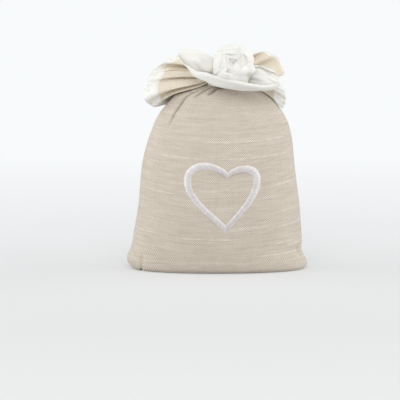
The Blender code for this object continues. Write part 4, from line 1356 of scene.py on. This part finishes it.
def relief(tree, height, strength, distance):
    """The normal of a surface with a fine relief on it."""
    values = {"Strength": strength, "Distance": distance, "Height": height}
    return add_node(tree, "ShaderNodeBump", values).outputs["Normal"]


def cloth_place(tree):
    """The place on the cloth, from the mesh's own UV map."""
    return add_node(tree, "ShaderNodeUVMap", uv_map="cloth").outputs["UV"]


def object_place(tree):
    """The place in the object's own frame."""
    return add_node(tree, "ShaderNodeTexCoord").outputs["Object"]


def mix_colour(tree, share, low, high):
    """The output of a colour Mix node."""
    return add_node(tree, "ShaderNodeMix", {"Factor": share, 6: low, 7: high}, data_type="RGBA").outputs[2]


def opaque(rgb):
    """A colour with its alpha."""
    return (*rgb, 1.0)


def new_material(name):
    """A new material, its node tree and its main shader."""
    made = bpy.data.materials.new(name)
    made.use_nodes = True
    return made, made.node_tree, made.node_tree.nodes["Principled BSDF"]


def new_group(name, inputs, outputs):
    """An empty shader node group with named sockets, its input node and its output node."""
    group = bpy.data.node_groups.new(name, "ShaderNodeTree")
    for label, kind, default in inputs:
        socket = group.interface.new_socket(label, in_out="INPUT", socket_type=kind)
        if default is not None:
            socket.default_value = default
    for label in outputs:
        group.interface.new_socket(label, in_out="OUTPUT", socket_type="NodeSocketFloat")
    return group, group.nodes.new("NodeGroupInput"), group.nodes.new("NodeGroupOutput")


def shared(tree, name, build, values):
    """The outputs of a node group that several materials use. It is built where it is first used."""
    group = bpy.data.node_groups.get(name) or build(name)
    return add_node(tree, "ShaderNodeGroup", values, node_tree=group).outputs


def yarn_tone(tree, thread, run, spread):
    """Tone of a yarn: partly its own, and partly changing along its run. The tones spread about 0.5."""
    number = calc(tree, "FLOOR", thread)
    place = {0: calc(tree, "MULTIPLY", run, YARN_RUN), 1: calc(tree, "MULTIPLY", number, YARN_STEP)}
    line = add_node(tree, "ShaderNodeCombineXYZ", place).outputs[0]
    changing = calc(tree, "MULTIPLY", noise(tree, line, scale=1.0, detail=1.0)["Fac"], 1 - YARN_OWN)
    tone = calc(tree, "MULTIPLY_ADD", own_value(tree, number), YARN_OWN, changing)
    return calc(tree, "MULTIPLY_ADD", tone, spread, 0.5 - 0.5 * spread)


def weave_group(name):
    """Group for a plain weave.

    With a and b the threads counted across and along, c = sin(pi a) sin(pi b) changes sign from cell to
    cell, so the warp is |sin(pi a)| (1 + c) / 2 high and the weft |sin(pi b)| (1 - c) / 2.
    """
    inputs = (
        ("Cloth", "NodeSocketVector", None),
        ("Threads", "NodeSocketFloat", CREAM_LINEN.threads),
        ("Wander", "NodeSocketFloat", CREAM_LINEN.wander),
    )
    group, given, result = new_group(name, inputs, ("Height", "Tone", "Weft"))
    cloth, threads = given.outputs["Cloth"], given.outputs["Threads"]
    drift = noise(group, cloth, WANDER_SCALE, detail=1.0)["Color"]
    shift = vector_calc(group, "SUBTRACT", {0: drift, 1: (0.5, 0.5, 0.5)})
    shift = vector_calc(group, "SCALE", {0: shift, "Scale": given.outputs["Wander"]})
    x, y, _ = split(group, vector_calc(group, "ADD", {0: cloth, 1: shift}))
    across = calc(group, "MULTIPLY", x, threads)
    along = calc(group, "MULTIPLY", y, threads)
    warp_wave = calc(group, "SINE", calc(group, "MULTIPLY", across, math.pi))
    weft_wave = calc(group, "SINE", calc(group, "MULTIPLY", along, math.pi))
    cell = calc(group, "MULTIPLY", warp_wave, weft_wave)
    warp_over = calc(group, "MULTIPLY_ADD", cell, 0.5, 0.5)
    weft_over = calc(group, "MULTIPLY_ADD", cell, -0.5, 0.5)
    warp = calc(group, "MULTIPLY", calc(group, "ABSOLUTE", warp_wave), warp_over)
    weft = calc(group, "MULTIPLY", calc(group, "ABSOLUTE", weft_wave), weft_over)
    warp_tone = yarn_tone(group, across, y, WARP_SPREAD)
    weft_tone = yarn_tone(group, along, x, WEFT_SPREAD)
    warp_on_top = calc(group, "GREATER_THAN", cell, 0.0)
    difference = calc(group, "SUBTRACT", warp_tone, weft_tone)
    tone = calc(group, "MULTIPLY_ADD", warp_on_top, difference, weft_tone)
    plug(group, result, {"Height": calc(group, "MAXIMUM", warp, weft), "Tone": tone, "Weft": weft_over})
    return group


def cloud_group(name):
    """Group for faint clouds on a cloth: a tint that follows a soft noise."""
    group, given, result = new_group(name, [("Place", "NodeSocketVector", None)], ["Tint"])
    cloud = noise(group, given.outputs["Place"], CLOUD_SCALE, detail=3.0)["Fac"]
    plug(group, result, {"Tint": calc(group, "MULTIPLY_ADD", cloud, *CLOUD_TINT)})
    return group


def fibre_group(name):
    """Group for matted fibres: a fine noise, with its grains per metre."""
    inputs = (("Place", "NodeSocketVector", None), ("Grains", "NodeSocketFloat", FELT_FIBRES))
    group, given, result = new_group(name, inputs, ["Fibres"])
    fibres = noise(group, given.outputs["Place"], given.outputs["Grains"], detail=4.0)["Fac"]
    plug(group, result, {"Fibres": fibres})
    return group


def cloth_material(name, dark, light, weave, slub=None):
    """A woven cloth: each yarn differs a little, and the weave's height paints light on the yarns' tops and
    shade in the gaps between them.

    Where the mesh has a slub mask, those yarns stand out in their own colour.
    """
    made, tree, shader = new_material(name)
    given = {"Cloth": cloth_place(tree), "Threads": weave.threads, "Wander": weave.wander}
    height, tone, weft = shared(tree, "Plain weave", weave_group, given)
    # Painted shade: the weave's height lightens the yarns' tops and darkens the gaps between them
    share = calc(tree, "MULTIPLY_ADD", tone, TONE_SHARE, calc(tree, "MULTIPLY", height, GAP_SHADE_SHARE))
    share = calc(tree, "SUBTRACT", share, WEFT_MIDDLE * weave.pale_weft)
    share = calc(tree, "MULTIPLY_ADD", weft, weave.pale_weft, share)
    share = calc(tree, "MINIMUM", calc(tree, "MAXIMUM", share, 0.0), 1.0)
    shade = mix_colour(tree, share, opaque(dark), opaque(light))
    clouds = shared(tree, "Faint clouds", cloud_group, {"Place": object_place(tree)})
    shade = vector_calc(tree, "SCALE", {0: shade, "Scale": clouds["Tint"]})
    if slub is not None:
        mask = add_node(tree, "ShaderNodeAttribute", attribute_name="slub").outputs["Fac"]
        cover = calc(tree, "MULTIPLY_ADD", weft, *SLUB_COVER)
        shade = mix_colour(tree, calc(tree, "MULTIPLY", mask, cover), shade, opaque(slub))
        height = calc(tree, "ADD", height, mask)
    plug(tree, shader, {
        "Base Color": shade,
        "Roughness": calc(tree, "MULTIPLY_ADD", tone, *CLOTH_ROUGHNESS),
        "Specular IOR Level": 0.25,
        "Sheen Weight": weave.sheen,
        "Sheen Roughness": 0.45,
        "Normal": relief(tree, height, strength=0.7, distance=weave.relief),
    })
    return made


def satin_material(colours):
    """Satin stitches: the UV counts stitches along the band, and each stitch has its own tone and sheen,
    with a painted highlight on its crown and painted shade between stitches.
    """
    made, tree, shader = new_material("satin_stitch")
    stitch = split(tree, cloth_place(tree))[0]
    own = own_value(tree, calc(tree, "FLOOR", stitch))
    # Painted light: a stitch's colour is lighter on its crown and darker between stitches
    crown = calc(tree, "COSINE", calc(tree, "MULTIPLY", stitch, 2 * math.pi))
    share = calc(tree, "MULTIPLY_ADD", own, STITCH_OWN, calc(tree, "MULTIPLY_ADD", crown, *STITCH_PAINTED_LIGHT))
    plug(tree, shader, {
        "Base Color": mix_colour(tree, share, opaque(colours.satin_dark), opaque(colours.satin_light)),
        "Roughness": calc(tree, "MULTIPLY_ADD", own, *STITCH_ROUGHNESS),
        "Specular IOR Level": 0.45,
        "Sheen Weight": 0.3,
    })
    return made


def cord_material(colours):
    """A twisted cotton cord: fine diagonal fibres along each strand, with painted shade in the grooves
    between them and painted light on their crowns.
    """
    made, tree, shader = new_material("cotton_cord")
    around, along, _ = split(tree, cloth_place(tree))
    slant = calc(tree, "ADD", calc(tree, "MULTIPLY", around, CORD_SLANT), along)
    fibre = calc(tree, "SINE", calc(tree, "MULTIPLY", slant, CORD_FIBRES))
    # Painted shade: the fibres' grooves are darker and their crowns lighter
    share = calc(tree, "MULTIPLY_ADD", fibre, *CORD_PAINTED_SHADE)
    plug(tree, shader, {
        "Base Color": mix_colour(tree, share, opaque(colours.cord_dark), opaque(colours.cord_light)),
        "Roughness": 0.85,
        "Normal": relief(tree, fibre, strength=0.5, distance=0.0001),
    })
    return made


def fibre_material(name, tone, grains):
    """Matted fibres without a weave: felt, or loose filling."""
    made, tree, shader = new_material(name)
    given = {"Place": object_place(tree), "Grains": grains}
    fibres = shared(tree, "Matted fibres", fibre_group, given)["Fibres"]
    darker = tuple(FIBRE_SHADE * value for value in tone)
    plug(tree, shader, {
        "Base Color": mix_colour(tree, fibres, opaque(darker), opaque(tone)),
        "Roughness": 0.95,
        "Sheen Weight": 0.3,
        "Normal": relief(tree, fibres, strength=0.6, distance=0.0002),
    })
    return made


def cotton_material(colours):
    """The flower's white cotton. A little light passes through it."""
    made = cloth_material("white_cotton", colours.cotton_dark, colours.cotton_light, WHITE_COTTON)
    plug(made.node_tree, made.node_tree.nodes["Principled BSDF"], {
        "Subsurface Weight": 0.3,
        "Subsurface Radius": (1.0, 0.9, 0.8),
        "Subsurface Scale": 0.0015,
    })
    return made


def frill_material(colours):
    """The cream linen of the neck and the frill, made once."""
    found = bpy.data.materials.get("cream_linen")
    return found or cloth_material("cream_linen", colours.frill_dark, colours.frill_light, CREAM_LINEN)


def settle(item, body, slot, *nodes):
    """The piece rides on a body and stands for the part's nodes, which are hidden. The slot is not used."""
    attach(item, body)
    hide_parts(*nodes)


class POUCH_OT_bag(bpy.types.Operator):
    """Builds the two linen panels and the filling inside them"""

    bl_idname = "pouch.bag"
    bl_label = "Linen bag"
    bl_options = {"REGISTER", "UNDO"}

    def execute(self, context):
        bag, colours = context.scene.pouch_sizes, context.scene.pouch_colours
        random = np.random.default_rng(RANDOM_SEED)
        shades = (colours.linen_dark, colours.linen_light)
        linen = cloth_material("slub_linen", *shades, SLUB_LINEN, colours.slub)
        panels = (
            ("front_cloth", 1, FRONT_CREASES, FRONT_SLUBS, ("front_panel", "bottom_seam")),
            ("back_cloth", -1, BACK_CREASES, (), ("back_panel", "left_side_seam", "right_side_seam")),
        )
        for name, face, creases, slubs, nodes in panels:
            grid, uv, mask = bag_grid(bag, face, creases, slubs, random)
            item = add_grid(name, grid, linen, flip=face < 0, uv=uv, attributes={"slub": mask})
            thicken(item, bag.cloth, -1.0)
            settle(item, "pouch", "linen", *nodes)
        self.fill(bag, colours)
        return {"FINISHED"}

    def fill(self, bag, colours):
        """The filling: the bag's own outline, drawn in a little more than the cloth, lumpy and closed."""
        rows, columns = FILL_MESH
        z = np.linspace(FILL_INSET, NECK_HEIGHT - 4 * FILL_INSET, rows)[:, None]
        turn = full_turn(columns)[None, :]
        bend = np.sign(np.cos(turn)) * np.abs(np.cos(turn)) ** SIDE_PINCH
        wide = half_width(bag, z) - 2 * FILL_INSET
        deep = half_depth(bag, z) - 2 * FILL_INSET
        waves_round, waves_along, waves_up = FILL_WAVES
        lump = np.sin(waves_round * turn + waves_along * z) * np.sin(waves_up * z)
        lump = 1 - FILL_LUMP * (1 + lump)
        x = centre_x(z) + wide * lump * np.sin(turn)
        grid = close_ends(np.stack([x, -deep * lump * bend, z + 0 * turn], axis=2))
        fibre = fibre_material("loose_fibre", colours.fibre, LOOSE_FIBRES)
        item = add_grid("fibre_filling", grid, fibre, wrap=True)
        settle(item, "pouch", "fibre", "filling")


class POUCH_OT_heart(bpy.types.Operator):
    """Builds the satin-stitch heart on the front panel"""

    bl_idname = "pouch.heart"
    bl_label = "Stitched heart"
    bl_options = {"REGISTER", "UNDO"}

    def execute(self, context):
        scene = context.scene
        random = np.random.default_rng(RANDOM_SEED + 1)
        grid, uv = heart_grid(scene.pouch_heart, scene.pouch_sizes, random)
        item = add_grid("heart_stitches", grid, satin_material(scene.pouch_colours), wrap=True, uv=uv)
        settle(item, "pouch", "satin_thread", "heart_embroidery")
        return {"FINISHED"}


class POUCH_OT_neck(bpy.types.Operator):
    """Builds the gathered neck, the drawstring in it and its knot"""

    bl_idname = "pouch.neck"
    bl_label = "Gathered neck"
    bl_options = {"REGISTER", "UNDO"}

    def execute(self, context):
        colours = context.scene.pouch_colours
        item = add_grid("neck_gathers", gather_grid(), frill_material(colours), wrap=True)
        settle(item, "pouch", "linen", "neck_casing")
        cord = cord_material(colours)
        self.cord(cord)
        self.knot(cord)
        return {"FINISHED"}

    def cord(self, material):
        """Two strands twisted about the cord's ring: ring + r (cos t outwards + sin t upwards)."""
        steps, sides = CORD_MESH
        start = math.asin(KNOT_LENGTH / 2 / CORD_RING)
        turn = np.linspace(start, 2 * np.pi - start, steps) - np.pi / 2
        offset = STRAND_OFFSET * CORD_RADIUS
        strands = []
        for phase in (0.0, np.pi):
            twist = CORD_TWISTS * turn + phase
            path = ring_points(turn, CORD_RING + offset * np.cos(twist), HINGE[2] + offset * np.sin(twist))
            strands.append(close_ends(tube_grid(path, STRAND_RADIUS * CORD_RADIUS, sides, closed=False)))
        points = np.concatenate(strands).reshape(-1, 3)
        quads = grid_quads(*strands[0].shape[:2], wrap=True)
        quads = np.concatenate([quads, quads + len(points) // 2])
        uv = np.concatenate([corner_uv(lengths_uv(strand, wrap=True)) for strand in strands])
        item = add_piece("twisted_cord", points, quads, uv, material)
        settle(item, "drawstring_loop", "cord", "drawstring")

    def knot(self, material):
        """An overhand knot: a tube along (sin t + 2 sin 2t, -sin 3t, cos t - 2 cos 2t), drawn tight."""
        steps, sides = KNOT_MESH
        t = full_turn(steps)
        thick = KNOT_STRAND * CORD_RADIUS + KNOT_SWELL
        size = (KNOT_LENGTH / 2 - thick) / KNOT_REACH
        across = np.sin(t) + 2 * np.sin(2 * t)
        deep = -KNOT_DEPTH * np.sin(3 * t)
        high = KNOT_HEIGHT * (np.cos(t) - 2 * np.cos(2 * t))
        centre = np.array([LEAN, -CORD_RING, HINGE[2]])
        tube = tube_grid(centre + size * np.stack([across, deep, high], axis=1), thick, sides, closed=True)
        item = add_grid("tied_knot", np.concatenate([tube, tube[:1]]), material, wrap=True)
        settle(item, "drawstring_loop", "cord", "drawstring_knot")


class POUCH_OT_frill(bpy.types.Operator):
    """Builds the frill's three cloths, their lace and the thread round its eyelets"""

    bl_idname = "pouch.frill"
    bl_label = "Lace-edged frill"
    bl_options = {"REGISTER", "UNDO"}

    def execute(self, context):
        scene = context.scene
        sizes, bag, colours = scene.pouch_frill, scene.pouch_sizes, scene.pouch_colours
        linen = frill_material(colours)
        lace = cloth_material("eyelet_lace", colours.lace_dark, colours.lace_light, EYELET_LACE)
        for frill in FRILLS:
            self.cloth(frill, sizes, bag, linen)
            self.lace(frill, sizes, bag, lace)
        return {"FINISHED"}

    def cloth(self, frill, sizes, bag, linen):
        """The frill's cloth, from the neck out to its lace. On a side its placement is baked into its mesh,
        and behind the neck it rides on the pouch.
        """
        item = add_grid(f"{frill.name}_frill_cloth", frill_grid(frill, sizes, bag), linen)
        thicken(item, sizes.cloth)
        if frill.side:
            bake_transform(item)
        else:
            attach(item, "pouch")
        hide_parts(f"{frill.name}_frill")

    def lace(self, frill, sizes, bag, material):
        """The lace along the frill's rim, with the thread round its holes."""
        band = add_piece(f"{frill.name}_eyelet_lace", *lace_mesh(frill, sizes, bag), material)
        thicken(band, sizes.lace_cloth)
        settle(band, frill.body, "lace", f"{frill.name}_lace")
        rings = add_piece(f"{frill.name}_eyelet_threads", *eyelet_mesh(frill, sizes, bag), material)
        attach(rings, frill.body)
        run = lace_spots(frill, sizes, bag)[1]
        shown = lace_width(frill, np.linspace(0, 1, frill.columns)).mean()


class POUCH_OT_flower(bpy.types.Operator):
    """Builds the flower: its felt backing, pad, loose petals, bud and rose petals"""

    bl_idname = "pouch.flower"
    bl_label = "Cloth flower"
    bl_options = {"REGISTER", "UNDO"}

    def execute(self, context):
        flower, colours = context.scene.pouch_flower, context.scene.pouch_colours
        random = np.random.default_rng(RANDOM_SEED + 2)
        cotton = cotton_material(colours)
        self.backing(fibre_material("white_felt", colours.cotton_light, FELT_FIBRES))
        self.pad(cotton)
        self.loose_petals(flower, cotton, random)
        self.bud(cotton)
        self.rose(flower, cotton, random)
        return {"FINISHED"}

    def backing(self, felt):
        """The felt disc: a round-edged profile turned about its axis."""
        low, high = np.array(BACKING_LOW), np.array(BACKING_HIGH)
        half, radius = (high[1] - low[1]) / 2, (high[0] - low[0]) / 2
        rows, columns = DISC_MESH
        edge = np.linspace(-np.pi / 2, np.pi / 2, rows)
        rim = radius - half + half * np.cos(edge)
        out = np.concatenate([[0.0, 0.5 * radius], rim, [0.5 * radius, 0.0]])[:, None]
        back = np.concatenate([[-half, -half], half * np.sin(edge), [half, half]])[:, None]
        turn = full_turn(columns)[None, :]
        disc = np.stack([out * np.cos(turn), back + 0 * turn, out * np.sin(turn)], axis=2)
        item = add_grid("felt_backing", disc + (low + high) / 2, felt, wrap=True, flip=True)
        settle(item, "pouch", "cotton", "flower_backing")

    def pad(self, cotton):
        """The pad: a tube from the felt up to the rose's base, closed by the rose's dome."""
        rows, columns = PAD_MESH
        turn = full_turn(columns)
        foot = rose_points(turn, ROSE_PAD_RADIUS + 0 * turn, 0 * turn)
        foot[:, 1] = BACKING_LOW.y + ROSE_PAD_SEAT
        dome_turn, climb = np.meshgrid(turn, np.linspace(0, 1, rows))
        top = dome_points(dome_turn, climb, ROSE_PAD_SINK)
        middle = np.repeat(foot.mean(axis=0)[None, None], columns, axis=1)
        grid = np.concatenate([middle, foot[None], top])
        item = add_grid("flower_pad", grid, cotton, wrap=True, flip=True)
        settle(item, "pouch", "cotton", "rose_pad")

    def loose_petals(self, flower, cotton, random):
        """The left, right and cradling petals round the rose, with the way in which each lip rolls."""
        left = (LEFT_PETAL_UPPER, LEFT_PETAL_LOWER)
        right = (RIGHT_PETAL_LOWER, RIGHT_PETAL_UPPER)
        cradle = (CRADLE_BACK, CRADLE_KEEL, CRADLE_LIP)
        petals = (
            ("left_leaf", "left_petal", left, PETAL_BULGE, -1, LEFT_FLAT_SIZE),
            ("right_leaf", "right_petal", right, PETAL_BULGE, 1, RIGHT_FLAT_SIZE),
            ("cradle_leaf", "cradle_petal", cradle, 0.0, -1, CRADLE_FLAT_SIZE),
        )
        for name, node, curves, bulge, way, flat in petals:
            grid = loft_grid(curves, bulge, flower, random, way)
            item = thicken(add_grid(name, grid, cotton), flower.cloth)
            settle(item, "pouch", "cotton", node)

    def bud(self, cotton):
        """A strip rolled up: radius grows along the spiral, and its top edge slants down along the roll."""
        rise, wind = shares(*BUD_MESH)
        turn = 2 * np.pi * BUD_TURNS * wind
        radius = (BUD_RADII[0] + np.ptp(BUD_RADII) * wind) * (1 - BUD_TAPER * rise**2)
        top = BUD_LENGTH * (1 - BUD_SLANT * wind)
        item = thicken(add_grid("rolled_bud", rose_points(turn, radius, top * rise), cotton), BUD_CLOTH)
        settle(item, "pouch", "cotton", "rose_bud")

    def rose(self, flower, cotton, random):
        """Three layers of petals, the outer ones lying over the inner ones."""
        number = 0
        for layer, count in enumerate(PETALS_PER_LAYER):
            for k in range(count):
                number += 1
                grid = petal_grid(flower, layer, k, random)
                item = thicken(add_grid(f"petal_cloth_{number:02d}", grid, cotton), flower.cloth)
                settle(item, "pouch", "cotton", f"rose_petal_{number:02d}")


class POUCH_OT_stage(bpy.types.Operator):
    """Builds the floor, the lamps and the camera"""

    bl_idname = "pouch.stage"
    bl_label = "Stage"
    bl_options = {"REGISTER", "UNDO"}

    def execute(self, context):
        scene, stage = context.scene, context.scene.pouch_stage
        scene.view_settings.view_transform = "Standard"
        self.floor(stage)
        self.light(scene, stage)
        self.camera(scene, stage)
        return {"FINISHED"}

    def floor(self, stage):
        """A flat square of paper, far wider than the view."""
        x, y = np.meshgrid((-FLOOR_HALF, FLOOR_HALF), (-FLOOR_HALF, FLOOR_HALF))
        item = add_grid("studio_floor", np.stack([x, y, 0 * x], axis=2), self.paper(stage))

    def paper(self, stage):
        """Matt paper. The camera sees it turn into the pale backdrop behind the pouch."""
        made, tree, shader = new_material("studio_paper")
        plug(tree, shader, {"Base Color": opaque(stage.floor), "Roughness": 1.0, "Specular IOR Level": 0.0})
        glow = add_node(tree, "ShaderNodeEmission", {"Color": opaque(stage.backdrop), "Strength": 1.0})
        behind = split(tree, object_place(tree))[1]
        fade = {"Value": behind, "From Min": FADE_START, "From Max": FADE_END, "To Min": 0.0, "To Max": 1.0}
        far = add_node(tree, "ShaderNodeMapRange", fade).outputs["Result"]
        path = add_node(tree, "ShaderNodeLightPath").outputs
        seen = calc(tree, "MAXIMUM", path["Is Camera Ray"], path["Is Glossy Ray"])
        share = calc(tree, "MULTIPLY", seen, far)
        mixed = add_node(tree, "ShaderNodeMixShader", {0: share, 1: shader.outputs[0], 2: glow.outputs[0]})
        plug(tree, tree.nodes["Material Output"], {"Surface": mixed.outputs[0]})
        return made

    def light(self, scene, stage):
        """An even surround, a broad lamp above the camera and one on each side."""
        world = bpy.data.worlds.new("studio")
        world.use_nodes = True
        sky = {"Color": opaque(stage.backdrop), "Strength": stage.ambient}
        plug(world.node_tree, world.node_tree.nodes["Background"], sky)
        scene.world = world
        lamps = (
            ("key_lamp", KEY_LAMP_PLACE, KEY_LAMP_WIDTH, stage.key_light),
            ("left_lamp", LEFT_LAMP_PLACE, SIDE_LAMP_WIDTH, stage.side_light),
            ("right_lamp", RIGHT_LAMP_PLACE, SIDE_LAMP_WIDTH, stage.side_light),
        )
        for name, spot, size, power in lamps:
            lamp = bpy.data.lights.new(name, "AREA")
            lamp.size = size
            lamp.energy = power
            item = bpy.data.objects.new(name, lamp)
            item.location = spot
            item.rotation_euler = (Vector(LAMP_AIM) - Vector(spot)).to_track_quat("-Z", "Y").to_euler()
            scene.collection.objects.link(item)

    def camera(self, scene, stage):
        """The camera looks along +Y from a little above, with the pouch as large as in the photograph."""
        data = bpy.data.cameras.new("camera")
        data.lens = stage.lens
        distance = stage.view_width * stage.lens / data.sensor_width
        aim = Vector((stage.aim_x, 0.0, stage.aim_z))
        back = Vector((0.0, -math.cos(stage.elevation), math.sin(stage.elevation)))
        item = bpy.data.objects.new("camera", data)
        item.location = aim + distance * back
        item.rotation_euler = (-back).to_track_quat("-Z", "Y").to_euler()
        scene.collection.objects.link(item)
        scene.camera = item


class POUCH_PT_sidebar(bpy.types.Panel):
    """Lists the steps that dress the pouch"""

    bl_idname = "POUCH_PT_sidebar"
    bl_label = "Linen Gift Pouch"
    bl_space_type = "VIEW_3D"
    bl_region_type = "UI"
    bl_category = "Pouch"

    def draw(self, context):
        for step in STEPS:
            self.layout.operator(step.bl_idname)


STEPS = (POUCH_OT_bag, POUCH_OT_heart, POUCH_OT_neck, POUCH_OT_frill, POUCH_OT_flower, POUCH_OT_stage)
SETTINGS = (
    ("pouch_sizes", PouchSizes),
    ("pouch_heart", HeartSizes),
    ("pouch_frill", FrillSizes),
    ("pouch_flower", FlowerSizes),
    ("pouch_colours", ClothColours),
    ("pouch_stage", StageSettings),
)


def register():
    """Registers the settings, the steps and the panel."""
    for name, group in SETTINGS:
        bpy.utils.register_class(group)
        setattr(bpy.types.Scene, name, PointerProperty(type=group))
    for step in STEPS:
        bpy.utils.register_class(step)
    bpy.utils.register_class(POUCH_PT_sidebar)


def unregister():
    """Removes what register added."""
    bpy.utils.unregister_class(POUCH_PT_sidebar)
    for step in reversed(STEPS):
        bpy.utils.unregister_class(step)
    for name, group in reversed(SETTINGS):
        delattr(bpy.types.Scene, name)
        bpy.utils.unregister_class(group)


def main():
    """Builds every piece and the stage."""
    register()
    bpy.ops.pouch.bag()
    bpy.ops.pouch.heart()
    bpy.ops.pouch.neck()
    bpy.ops.pouch.frill()
    bpy.ops.pouch.flower()
    bpy.ops.pouch.stage()


if __name__ == "__main__":
    main()
